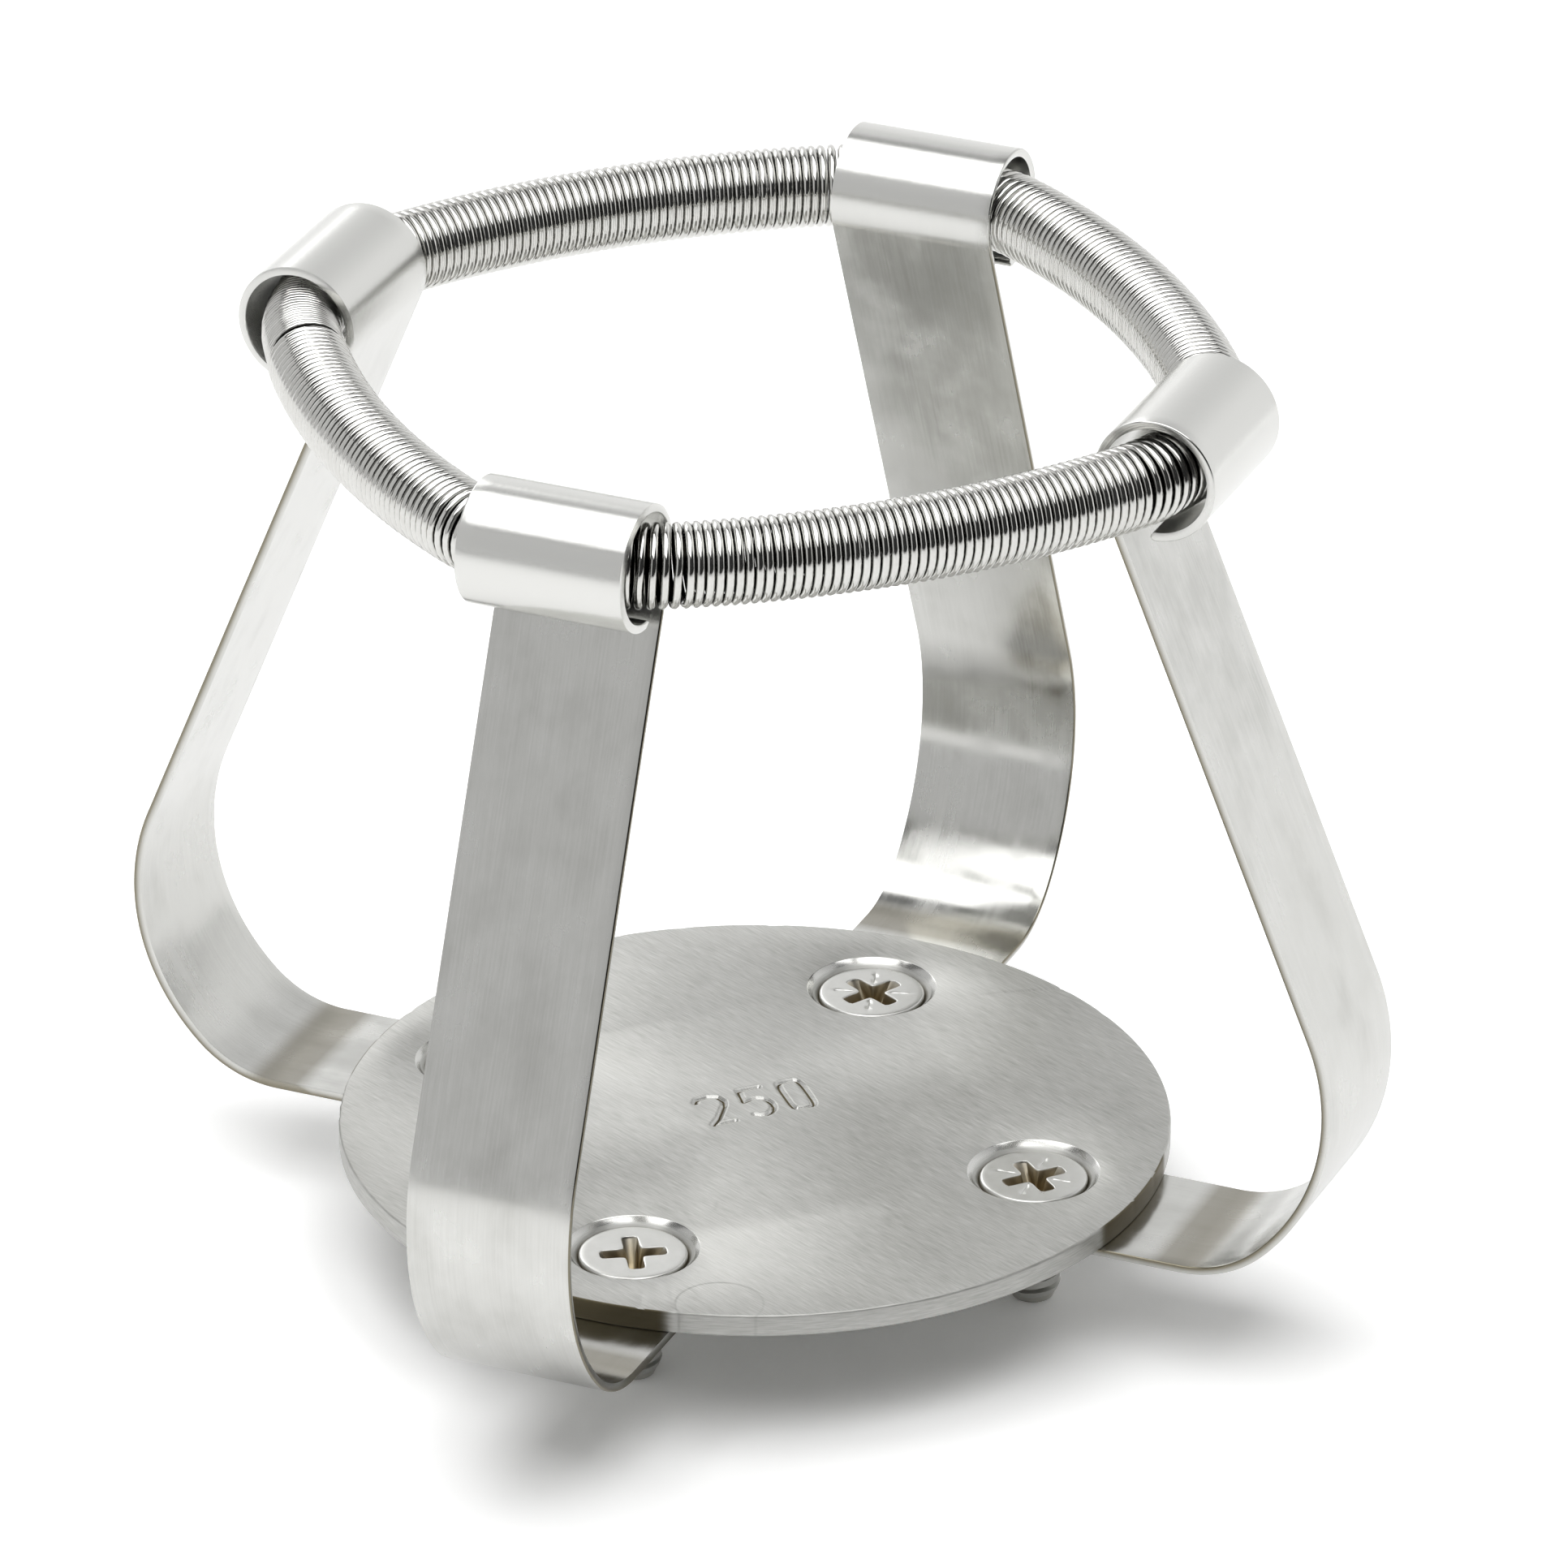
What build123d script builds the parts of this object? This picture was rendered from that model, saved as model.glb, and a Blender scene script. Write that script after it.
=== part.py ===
from build123d import *

import math
import os

# Flask clamp for a laboratory shaker, with its four mounting screws.
# A round plate carries four bent spring-steel straps. Each strap leaves the underside of the
# plate, turns up round the foot of a conical flask, leans inward along the glass and ends in
# an open loop. A closed coil spring runs through the four loops and grips the flask.
# The origin is on the plate's axis, in the plane of the straps' undersides, which bear on the
# shaker's platform. Lengths are in millimetres and angles in degrees, and +Z is up.

# Flask that the clamp is made for
flask_diameter = 85.0
flask_clearance = 1.8

# Round plate, smaller than the flask by a margin all round
plate_margin = 13.5
plate_thickness = 1.6
plate_edge_break = 0.15

# Strap section and the bends along it, each radius measured to the outer face
strap_width = 12.0
strap_thickness = 0.6
toe_bend_radius = 8.6
toe_bend_turn = 44.0
side_bend_radius = 15.8
strap_lean = 22.4
straight_run = 41.2
foot_tail = 8.5
foot_corner_radius = 2.0
arm_names = ("arm_right", "arm_back", "arm_left", "arm_front")

# Closed coil spring, which bends more sharply at each strap than between two.
# Its turns touch, so its skin is a helical ridge that is drawn with a few flat facets a turn,
# and the groove between two turns reaches in by a share of the wire's diameter.
coil_diameter = 5.8
wire_diameter = 0.6
coil_pitch = 0.637
coil_corner_turn = 62.0
coil_facets = 8
groove_share = 0.6

# Loop at the top of each strap, with the play that the coil has in it
loop_play = 0.85
loop_seat_gap = 0.12
loop_mouth = 2.2

# Countersunk machine screws, and how far they stand in from the plate's rim
screw_edge_distance = 8.0
screw_thread_diameter = 4.0
screw_length = 9.2
screw_head_diameter = 7.5
screw_head_rim = 0.45
screw_tip_chamfer = 0.4
screw_hole_clearance = 0.1
countersink_margin = 0.85
countersink_angle = 90.0
screw_names = ("screw_right", "screw_back", "screw_left", "screw_front")
screw_turns = (49.0, 62.0, 20.0, 31.0)

# Cross recess in each screw head
recess_span = 4.6
recess_width = 1.1
recess_root_span = 1.5
recess_root_width = 0.7
recess_depth = 1.9

# Levels and places worked out from the sizes above
arm_count = len(arm_names)
arm_step = 360.0 / arm_count
plate_radius = flask_diameter / 2 - plate_margin
plate_top = strap_thickness + plate_thickness
screw_circle_radius = plate_radius - screw_edge_distance
strap_reach = flask_diameter / 2 + flask_clearance
side_start_angle = math.radians(toe_bend_turn - 90.0)
toe_bend_start = (
    strap_reach
    - (toe_bend_radius - side_bend_radius) * math.cos(side_start_angle)
    - (side_bend_radius - strap_thickness)
)
loop_bore_radius = coil_diameter / 2 + loop_play
loop_outer_radius = loop_bore_radius + strap_thickness
loop_turn = 360.0 - math.degrees(math.acos((loop_bore_radius - loop_mouth) / loop_outer_radius))
head_radius = screw_head_diameter / 2
thread_radius = screw_thread_diameter / 2
screw_hole_radius = thread_radius + screw_hole_clearance
countersink_slope = math.tan(math.radians(countersink_angle / 2))
countersink_radius = head_radius + countersink_margin


def strap_face_line(inset):
    """Return the line of one strap face from foot to loop end, seen from the side.

    The inset is measured from the outer face towards the flask, so 0 gives the outer face
    and the strap's thickness gives the face that touches the flask.
    """
    loop_face_radius = loop_bore_radius + inset
    with BuildLine(Plane.XZ) as face_line:
        foot = Line((screw_circle_radius - foot_tail, inset), (toe_bend_start, inset))
        toe = JernArc(foot @ 1, foot % 1, toe_bend_radius - inset, toe_bend_turn)
        side_turn = 90.0 - toe_bend_turn + strap_lean
        side = JernArc(toe @ 1, toe % 1, side_bend_radius - inset, side_turn)
        straight = Line(side @ 1, side @ 1 + (side % 1) * straight_run)
        JernArc(straight @ 1, straight % 1, loop_face_radius, -loop_turn)
    return face_line.line


def strap_side_view():
    """Return the strap's side view as one face, with the loop's free end rounded off."""
    outer = strap_face_line(0.0)
    inner = strap_face_line(strap_thickness)
    outer_end = outer @ 1
    inner_end = inner @ 1
    end_tangent = outer % 1
    end_crown = (outer_end + inner_end) / 2 + end_tangent * (strap_thickness / 2)
    foot_edge = Line(outer @ 0, inner @ 0)
    loop_edge = ThreePointArc(outer_end, end_crown, inner_end)
    return make_face([outer.edges(), loop_edge, inner.edges(), foot_edge])


def loop_centre():
    """Return the radius and the height of a loop's centre."""
    loop_arc = strap_face_line(0.0).edges().sort_by(Axis.Z)[-1]
    return loop_arc.arc_center.X, loop_arc.arc_center.Z


def screw_hole_cutter():
    """Return the cone and hole that the screw on the +X side needs through plate and strap."""
    hanging = (Align.CENTER, Align.CENTER, Align.MAX)
    cone_depth = (countersink_radius - screw_hole_radius) / countersink_slope
    cone = Cone(screw_hole_radius, countersink_radius, cone_depth, align=hanging)
    hole = Cylinder(screw_hole_radius, plate_top, align=hanging)
    return Pos(screw_circle_radius, 0, plate_top) * (cone + hole)


def make_plate():
    """Return the round plate with its four countersunk holes."""
    standing = (Align.CENTER, Align.CENTER, Align.MIN)
    plate = Pos(0, 0, strap_thickness) * Cylinder(plate_radius, plate_thickness, align=standing)
    rims = plate.edges().filter_by(GeomType.CIRCLE)
    plate = chamfer(rims, plate_edge_break)
    for index in range(arm_count):
        plate -= Rot(0, 0, index * arm_step) * screw_hole_cutter()
    return plate


def make_arm():
    """Return the strap that lies along +X, bent from one strip."""
    arm = extrude(strap_side_view(), strap_width / 2, both=True)
    foot_corners = arm.edges().filter_by(Axis.Z).group_by(Axis.X)[0]
    arm = fillet(foot_corners, foot_corner_radius)
    return arm - screw_hole_cutter()


def cross_recess(head_top):
    """Return the tapered cross that the driver fits, cut down from the head's top."""
    top_plane = Plane.XY.offset(head_top)
    root_plane = Plane.XY.offset(head_top - recess_depth)
    wing = loft([
        root_plane * Rectangle(recess_root_span, recess_root_width),
        top_plane * Rectangle(recess_span, recess_width),
    ])
    return wing + Rot(0, 0, 90) * wing


def make_screw(turn):
    """Return the screw on the +X side, with its recess turned by an angle.

    The head's cone bears on the countersink, and its thin rim stands on top of that cone.
    """
    cone_top = plate_top - countersink_margin / countersink_slope
    cone_foot = cone_top - (head_radius - thread_radius) / countersink_slope
    head_top = cone_top + screw_head_rim
    tip = head_top - screw_length
    with BuildSketch(Plane.XZ) as half_section:
        with BuildLine():
            Polyline(
                (0, tip),
                (thread_radius - screw_tip_chamfer, tip),
                (thread_radius, tip + screw_tip_chamfer),
                (thread_radius, cone_foot),
                (head_radius, cone_top),
                (head_radius, head_top),
                (0, head_top),
                close=True,
            )
        make_face()
    blank = revolve(half_section.sketch, Axis.Z)
    screw = Rot(0, 0, turn) * (blank - cross_recess(head_top))
    return Pos(screw_circle_radius, 0, 0) * screw


def coil_quarter():
    """Return the ridge and groove points of a quarter of the coil, from loop to loop.

    The coil's axis is three tangent arcs. It turns sharply round each loop's middle, and bows
    gently outward over the span between two loops. In the loop it bears outward at the middle
    and inward at both rims, which sets the tangent of half the angle that it turns between
    them: a root of the quadratic that adds up the play on both sides and the coil's tilt.
    """
    loop_radius, loop_height = loop_centre()
    ridge_radius = coil_diameter / 2
    half_width = strap_width / 2
    play = loop_play - loop_seat_gap
    tilt_root = math.sqrt(half_width ** 2 + 16 * ridge_radius * play)
    half_tilt_tangent = (tilt_root - half_width) / (4 * ridge_radius)
    tight_radius = half_width / math.sin(2 * math.atan(half_tilt_tangent))
    tight_centre = loop_radius + play - tight_radius
    half_turn = math.radians(coil_corner_turn / 2)
    span_excess = tight_centre / (math.cos(half_turn) - math.sin(half_turn))
    span_radius = tight_radius + span_excess
    tight_run = tight_radius * half_turn
    span_run = span_radius * (math.pi / 2 - 2 * half_turn)
    quarter_run = 2 * tight_run + span_run
    turns = round(quarter_run / coil_pitch)

    def axis_station(distance):
        """Return the centre, the radius and the angle of the arc at a distance along it."""
        if distance < tight_run:
            return (tight_centre, 0.0), tight_radius, distance / tight_radius
        if distance < tight_run + span_run:
            offset_x = tight_centre - span_excess * math.cos(half_turn)
            offset_y = -span_excess * math.sin(half_turn)
            angle = half_turn + (distance - tight_run) / span_radius
            return (offset_x, offset_y), span_radius, angle
        angle = math.pi / 2 - (quarter_run - distance) / tight_radius
        return (0.0, tight_centre), tight_radius, angle

    def coil_point(step, radius, advance):
        """Return the point of the coil at a step, its radius and a part of a pitch ahead."""
        distance = (step / coil_facets + advance) * quarter_run / turns
        centre, arc_radius, angle = axis_station(distance)
        phase = 2 * math.pi * step / coil_facets
        reach = arc_radius + radius * math.cos(phase)
        x = centre[0] + reach * math.cos(angle)
        y = centre[1] + reach * math.sin(angle)
        return Vector(x, y, loop_height + radius * math.sin(phase))

    groove_radius = ridge_radius - wire_diameter * groove_share
    steps = range(turns * coil_facets)
    ridge = [coil_point(step, ridge_radius, 0.0) for step in steps]
    groove = [coil_point(step, groove_radius, 0.5) for step in steps]
    return ridge, groove


def make_spring_ring():
    """Return the closed coil as one solid whose skin is the helical ridge of the wire."""
    quarter_ridge, quarter_groove = coil_quarter()
    ridge = []
    groove = []
    for index in range(arm_count):
        turn_angle = index * arm_step
        ridge += [point.rotate(Axis.Z, turn_angle) for point in quarter_ridge]
        groove += [point.rotate(Axis.Z, turn_angle) for point in quarter_groove]
    count = len(ridge)
    skin = []
    for step in range(count):
        following = (step + 1) % count
        next_turn = (step + coil_facets) % count
        next_following = (following + coil_facets) % count
        falling_to_groove = (
            (ridge[step], ridge[following], groove[following]),
            (ridge[step], groove[following], groove[step]),
        )
        rising_to_next_turn = (
            (groove[step], groove[following], ridge[next_turn]),
            (groove[following], ridge[next_following], ridge[next_turn]),
        )
        for corners in falling_to_groove + rising_to_next_turn:
            skin.append(Face(Wire.make_polygon(corners)))
    return Solid(Shell(skin))


def write_parts():
    """Build every piece and write each to its own file."""
    os.makedirs("parts", exist_ok=True)
    pieces = {"base_plate": make_plate(), "spring_ring": make_spring_ring()}
    arm = make_arm()
    for index, name in enumerate(arm_names):
        pieces[name] = arm.rotate(Axis.Z, index * arm_step)
    for index, name in enumerate(screw_names):
        screw = make_screw(screw_turns[index])
        pieces[name] = screw.rotate(Axis.Z, index * arm_step)
    for name, piece in pieces.items():
        export_step(piece, f"parts/{name}.step")


write_parts()
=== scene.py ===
import logging
import math
from dataclasses import dataclass, field
from enum import Enum
from typing import Any, ClassVar, Iterable, Sequence

import bmesh
import bpy
import numpy as np
from mathutils import Matrix, Vector
from mathutils.geometry import delaunay_2d_cdt


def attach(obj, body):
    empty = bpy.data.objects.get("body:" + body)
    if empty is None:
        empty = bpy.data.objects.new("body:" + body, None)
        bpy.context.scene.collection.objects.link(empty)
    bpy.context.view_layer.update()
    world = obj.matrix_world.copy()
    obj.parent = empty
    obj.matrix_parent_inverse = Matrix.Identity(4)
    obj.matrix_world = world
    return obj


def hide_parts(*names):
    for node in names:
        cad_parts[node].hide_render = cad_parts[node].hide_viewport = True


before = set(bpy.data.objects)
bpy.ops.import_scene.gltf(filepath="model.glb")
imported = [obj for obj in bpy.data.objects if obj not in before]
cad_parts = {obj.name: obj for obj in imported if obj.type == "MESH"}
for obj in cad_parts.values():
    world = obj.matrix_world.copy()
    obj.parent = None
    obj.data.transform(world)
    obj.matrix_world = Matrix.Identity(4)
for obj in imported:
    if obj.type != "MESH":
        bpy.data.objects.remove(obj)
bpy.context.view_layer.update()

# Every size below is in millimetres and every angle in degrees, and MM turns them to metres.
MM = 0.001
BODY = "root"
GRAIN_MAP = "grain"
# The wear map holds real wear and dirt, and also painted shade beside the straps, in the stamped
# grooves and between the coil's turns.
WEAR_AND_SHADE_MAP = "wear_and_shade"
LOG = logging.getLogger("flask_clamp")


def linear(hex_colour: str) -> tuple[float, float, float, float]:
    """Turn an sRGB hex colour to linear.

    Args:
        hex_colour: The colour as "#RRGGBB".

    Returns:
        The linear red, green and blue, and an alpha of 1.
    """
    channels = [int(hex_colour[start:start + 2], 16) / 255 for start in (1, 3, 5)]
    red, green, blue = (
        value / 12.92 if value <= 0.04045 else ((value + 0.055) / 1.055) ** 2.4
        for value in channels
    )
    return red, green, blue, 1.0


def add_node(
    tree: bpy.types.NodeTree,
    kind: str,
    settings: dict[str, Any] | None = None,
    inputs: dict[str | int, Any] | None = None,
) -> bpy.types.Node:
    """Add a node with its settings, its values and its links.

    Args:
        tree: The node tree that gets the node.
        kind: The node's type name.
        settings: Properties to set on the node.
        inputs: Values, or sockets to link, by input name or number.

    Returns:
        The new node.
    """
    node = tree.nodes.new(kind)
    for name, value in (settings or {}).items():
        setattr(node, name, value)
    for key, value in (inputs or {}).items():
        if isinstance(value, bpy.types.NodeSocket):
            tree.links.new(value, node.inputs[key])
        else:
            node.inputs[key].default_value = value
    return node


def empty_material(name: str) -> bpy.types.Material:
    """Add a material whose node tree is empty."""
    material = bpy.data.materials.new(name)
    material.use_nodes = True
    material.node_tree.nodes.clear()
    return material


def add_object(name: str, data: bpy.types.ID) -> bpy.types.Object:
    """Add an object to the scene, at the origin."""
    added = bpy.data.objects.new(name, data)
    bpy.context.scene.collection.objects.link(added)
    return added


def smooth_step(low: float, high: float, value: np.ndarray | float) -> np.ndarray | float:
    """Rise smoothly from 0 to 1 between two values.

    Args:
        low: Where the rise starts.
        high: Where the rise ends.
        value: The values to look up.

    Returns:
        A share from 0 to 1 for each value.
    """
    share = np.clip((value - low) / (high - low), 0.0, 1.0)
    return share * share * (3 - 2 * share)


@dataclass(frozen=True)
class ClampSizes:
    """The sizes that the pieces share, the same as the solids have."""

    strap_reach: float = 44.3
    strap_width: float = 12.0
    strap_thickness: float = 0.6
    toe_bend_radius: float = 8.6
    toe_bend_turn: float = 44.0
    side_bend_radius: float = 15.8
    strap_lean: float = 22.4
    straight_length: float = 41.2
    foot_tail: float = 8.5
    foot_corner_radius: float = 2.0
    plate_radius: float = 29.0
    plate_thickness: float = 1.6
    plate_edge_break: float = 0.15
    screw_circle_radius: float = 21.0
    screw_hole_radius: float = 2.1
    countersink_radius: float = 4.6
    countersink_angle: float = 90.0
    coil_diameter: float = 5.8
    wire_diameter: float = 0.6
    loop_play: float = 0.85
    loop_seat_gap: float = 0.12
    loop_mouth: float = 2.2
    coil_corner_turn: float = 62.0

    @property
    def plate_top(self) -> float:
        """Height of the plate's upper face."""
        return self.strap_thickness + self.plate_thickness

    @property
    def loop_bore_radius(self) -> float:
        """Inside radius of a loop."""
        return self.coil_diameter / 2 + self.loop_play

    @property
    def loop_turn(self) -> float:
        """How far a loop is rolled, in degrees."""
        outside = self.loop_bore_radius + self.strap_thickness
        return 360.0 - math.degrees(math.acos((self.loop_bore_radius - self.loop_mouth) / outside))

    @property
    def countersink_slope(self) -> float:
        """Radius that a countersink gains for each millimetre of height."""
        return math.tan(math.radians(self.countersink_angle / 2))


SIZES = ClampSizes()


@dataclass
class MeshData:
    """Points, faces and per-point values of a piece while it is being made.

    A point's wear value says what its surface went through, and where shade is painted. Above 0 it
    darkens the surface towards the finish's dark tone, up to 1, which is real dirt in some places
    and painted shade in others, and below 0 it was polished by cutting or forming, down to -1.
    """

    points: list[tuple[float, float, float]] = field(default_factory=list)
    faces: list[tuple[int, ...]] = field(default_factory=list)
    grain: list[tuple[tuple[float, float], ...]] = field(default_factory=list)
    wear_and_shade: list[float] = field(default_factory=list)

    def add_points(self, points: Iterable[Sequence[float]], wear_and_shade: Iterable[float] | float) -> int:
        """Add points with their values of wear and painted shade.

        Args:
            points: The new points.
            wear_and_shade: One value for each point, or one for all.

        Returns:
            The number of the first new point.
        """
        first = len(self.points)
        self.points += [tuple(float(value) for value in point) for point in points]
        count = len(self.points) - first
        self.wear_and_shade += [float(wear_and_shade)] * count if isinstance(wear_and_shade, (int, float)) else list(wear_and_shade)
        return first

    def add_face(self, corners: Sequence[int], grain: Sequence[tuple[float, float]]) -> None:
        """Add a face with a grain coordinate for each corner."""
        self.faces.append(tuple(corners))
        self.grain.append(tuple(grain))

    def object(self, name: str, turn: float = 0.0) -> bpy.types.Object:
        """Make a mesh object of the data, in metres.

        Args:
            name: The object's name.
            turn: How far the piece is turned about the plate's axis.

        Returns:
            The object, linked to the scene, with its place in its mesh.
        """
        mesh = bpy.data.meshes.new(name)
        mesh.from_pydata(self.points, [], self.faces)
        layer = mesh.uv_layers.new(name=GRAIN_MAP)
        layer.data.foreach_set("uv", [value for face in self.grain for uv in face for value in uv])
        values = mesh.attributes.new(WEAR_AND_SHADE_MAP, "FLOAT", "POINT")
        values.data.foreach_set("value", self.wear_and_shade)
        mesh.transform(Matrix.Rotation(math.radians(turn), 4, "Z") @ Matrix.Scale(MM, 4))
        mesh.validate()
        return add_object(name, mesh)


def shade_smooth(piece: bpy.types.Object, sharp_angle: float) -> None:
    """Shade a piece smooth, apart from the edges that bend by more than an angle."""
    piece.data.shade_smooth()
    piece.data.set_sharp_from_angle(angle=math.radians(sharp_angle))


def tidy_mesh(piece: bpy.types.Object, sharp_angle: float) -> None:
    """Merge doubles, turn the faces outwards and shade smooth up to an angle.

    Args:
        piece: The object whose mesh is tidied.
        sharp_angle: Edges that bend by more stay sharp.
    """
    work = bmesh.new()
    work.from_mesh(piece.data)
    bmesh.ops.remove_doubles(work, verts=work.verts, dist=1e-7)
    bmesh.ops.recalc_face_normals(work, faces=work.faces)
    work.to_mesh(piece.data)
    work.free()
    shade_smooth(piece, sharp_angle)


def baked_copy(piece: bpy.types.Object) -> None:
    """Replace a piece's mesh by what its modifiers make of it, and remove them."""
    graph = bpy.context.evaluated_depsgraph_get()
    mesh = bpy.data.meshes.new_from_object(piece.evaluated_get(graph))
    piece.modifiers.clear()
    old = piece.data
    piece.data = mesh
    bpy.data.meshes.remove(old)
    mesh.name = piece.name


def hand_over(piece: bpy.types.Object, node: str, finish: bpy.types.Material) -> None:
    """Give a finished piece its finish and its place in the frame.

    Args:
        piece: The finished object.
        node: The CAD node that it stands for, or "" for none.
        finish: The material of all its faces.
    """
    piece.data.materials.clear()
    piece.data.materials.append(finish)
    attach(piece, BODY)
    if node:
        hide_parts(node)
    LOG.info("%s: %d faces", piece.name, len(piece.data.polygons))


class GrainGuide(Enum):
    """What a finish's pattern follows."""

    SURFACE = "the piece's own grain map"
    PLACE = "the place in the frame"


@dataclass(frozen=True)
class SteelFinish:
    """A bare stainless finish: rolling or drawing grain, handling smudges and fine scratches.

    The grain map's first axis runs across the grain and its second along it, in millimetres.
    The two roughnesses are those of the lowest and of the highest streaks.
    """

    # The streaks are a fine grain with a share of longer fibres in it.
    NOISE_MEAN: ClassVar[float] = 0.5
    FIBRE_SHARE: ClassVar[float] = 0.3
    TONE_SPREAD: ClassVar[float] = 0.2
    STREAK_RANGE: ClassVar[tuple[float, float]] = (0.4, 0.9)
    SMUDGE_RANGE: ClassVar[tuple[float, float]] = (0.42, 0.74)
    SOIL_AND_SHADE_RANGE: ClassVar[tuple[float, float]] = (0.05, 0.95)
    POLISH_RANGE: ClassVar[tuple[float, float]] = (-0.1, -0.9)

    # A scratch is the edge between two long cells, and shows only in patches.
    SCRATCH_TURN: ClassVar[float] = 14.0
    SCRATCH_CELL: ClassVar[tuple[float, float]] = (1.3, 11.0)
    SCRATCH_WIDTH: ClassVar[float] = 0.03
    SCRATCH_PATCH: ClassVar[float] = 5.0
    PATCH_RANGE: ClassVar[tuple[float, float]] = (0.55, 0.65)
    SCRATCH_ROUGHNESS: ClassVar[float] = 0.12

    # The witness ring's line, as distances from its middle, and how much rougher it is.
    RING_LINE: ClassVar[tuple[float, float]] = (0.04, 0.12)
    RING_ROUGHNESS: ClassVar[float] = 0.14

    name: str
    bright: str
    dull: str
    # The dark tone is dirt on some pieces and painted shade on others.
    soil_and_shade: str
    roughness: tuple[float, float]
    anisotropy: float
    grain_width: float
    grain_length: float
    grain_depth: float
    smudge_size: float
    smudge_roughness: float
    cut_roughness: float = 0.2
    smudge_share: float = 0.5
    guide: GrainGuide = GrainGuide.SURFACE
    peel_size: float = 0.3
    peel_depth: float = 0.0
    scratch_depth: float = 0.0
    ring_mark: tuple[float, float, float] | None = None

    def build(self) -> bpy.types.Material:
        """Build the material.

        Returns:
            The material, ready for use.
        """
        material = empty_material(self.name)
        tree = material.node_tree
        place = self.place(tree)
        grain = self.stretched_noise(tree, place, self.grain_width, self.grain_length, 3.0)
        fibre = self.stretched_noise(tree, place, self.grain_width * 4, self.grain_length * 3, 2.0)
        smudge = self.stretched_noise(tree, place, self.smudge_size, self.smudge_size * 1.6, 4.0)
        streaks = add_node(tree, "ShaderNodeMath", {"operation": "MULTIPLY_ADD"},
                           {0: fibre, 1: self.FIBRE_SHARE, 2: grain}).outputs[0]
        wear_and_shade = add_node(tree, "ShaderNodeAttribute", {"attribute_name": WEAR_AND_SHADE_MAP}).outputs["Fac"]
        polished = add_node(tree, "ShaderNodeMapRange", {},
                            {"Value": wear_and_shade, "From Min": self.POLISH_RANGE[0],
                             "From Max": self.POLISH_RANGE[1]}).outputs[0]
        colour = self.colour(tree, streaks, smudge, wear_and_shade, polished)
        rough = self.gloss(tree, streaks, smudge, polished)
        normal = add_node(tree, "ShaderNodeBump", {},
                          {"Strength": 1.0, "Distance": self.grain_depth * MM,
                           "Height": streaks}).outputs[0]
        if self.peel_depth:
            normal = self.orange_peel(tree, place, polished, normal)
        if self.scratch_depth:
            normal, rough = self.scratches(tree, place, normal, rough)
        if self.ring_mark:
            rough = self.witness_ring(tree, rough)
        shader = add_node(tree, "ShaderNodeBsdfPrincipled", {},
                          {"Base Color": colour, "Metallic": 1.0, "Roughness": rough,
                           "Normal": normal, "Anisotropic": self.anisotropy})
        if self.anisotropy:
            tangent = add_node(tree, "ShaderNodeTangent",
                               {"direction_type": "UV_MAP", "uv_map": GRAIN_MAP}).outputs[0]
            tree.links.new(tangent, shader.inputs["Tangent"])
        add_node(tree, "ShaderNodeOutputMaterial", {}, {"Surface": shader.outputs[0]})
        return material

    def colour(
        self,
        tree: bpy.types.NodeTree,
        streaks: bpy.types.NodeSocket,
        smudge: bpy.types.NodeSocket,
        wear_and_shade: bpy.types.NodeSocket,
        polished: bpy.types.NodeSocket,
    ) -> bpy.types.NodeSocket:
        """Mix the bright and the dull tone, then the dark tone of dirt and painted shade, then the
        polished places.

        Args:
            tree: The material's tree.
            streaks: The height of the grain and fibres.
            smudge: The handling smudges.
            wear_and_shade: What the surface went through, and where shade is painted.
            polished: How polished a place is, from 0 to 1.

        Returns:
            The colour.
        """
        streaks_mean = self.NOISE_MEAN * (1 + self.FIBRE_SHARE)
        middle = streaks_mean + (self.NOISE_MEAN - streaks_mean) * self.smudge_share
        tone = add_node(tree, "ShaderNodeMix", {"data_type": "FLOAT"},
                        {0: self.smudge_share, 2: streaks, 3: smudge}).outputs[0]
        tone = add_node(tree, "ShaderNodeMapRange", {},
                        {"Value": tone, "From Min": middle - self.TONE_SPREAD,
                         "From Max": middle + self.TONE_SPREAD}).outputs[0]
        clean = add_node(tree, "ShaderNodeMix", {"data_type": "RGBA"},
                         {0: tone, 6: linear(self.dull), 7: linear(self.bright)}).outputs[2]
        soiled_and_shaded = add_node(tree, "ShaderNodeMapRange", {"interpolation_type": "SMOOTHSTEP"},
                          {"Value": wear_and_shade, "From Min": self.SOIL_AND_SHADE_RANGE[0],
                           "From Max": self.SOIL_AND_SHADE_RANGE[1]}).outputs[0]
        used = add_node(tree, "ShaderNodeMix", {"data_type": "RGBA"},
                        {0: soiled_and_shaded, 6: clean, 7: linear(self.soil_and_shade)}).outputs[2]
        return add_node(tree, "ShaderNodeMix", {"data_type": "RGBA"},
                        {0: polished, 6: used, 7: linear(self.bright)}).outputs[2]

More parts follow.
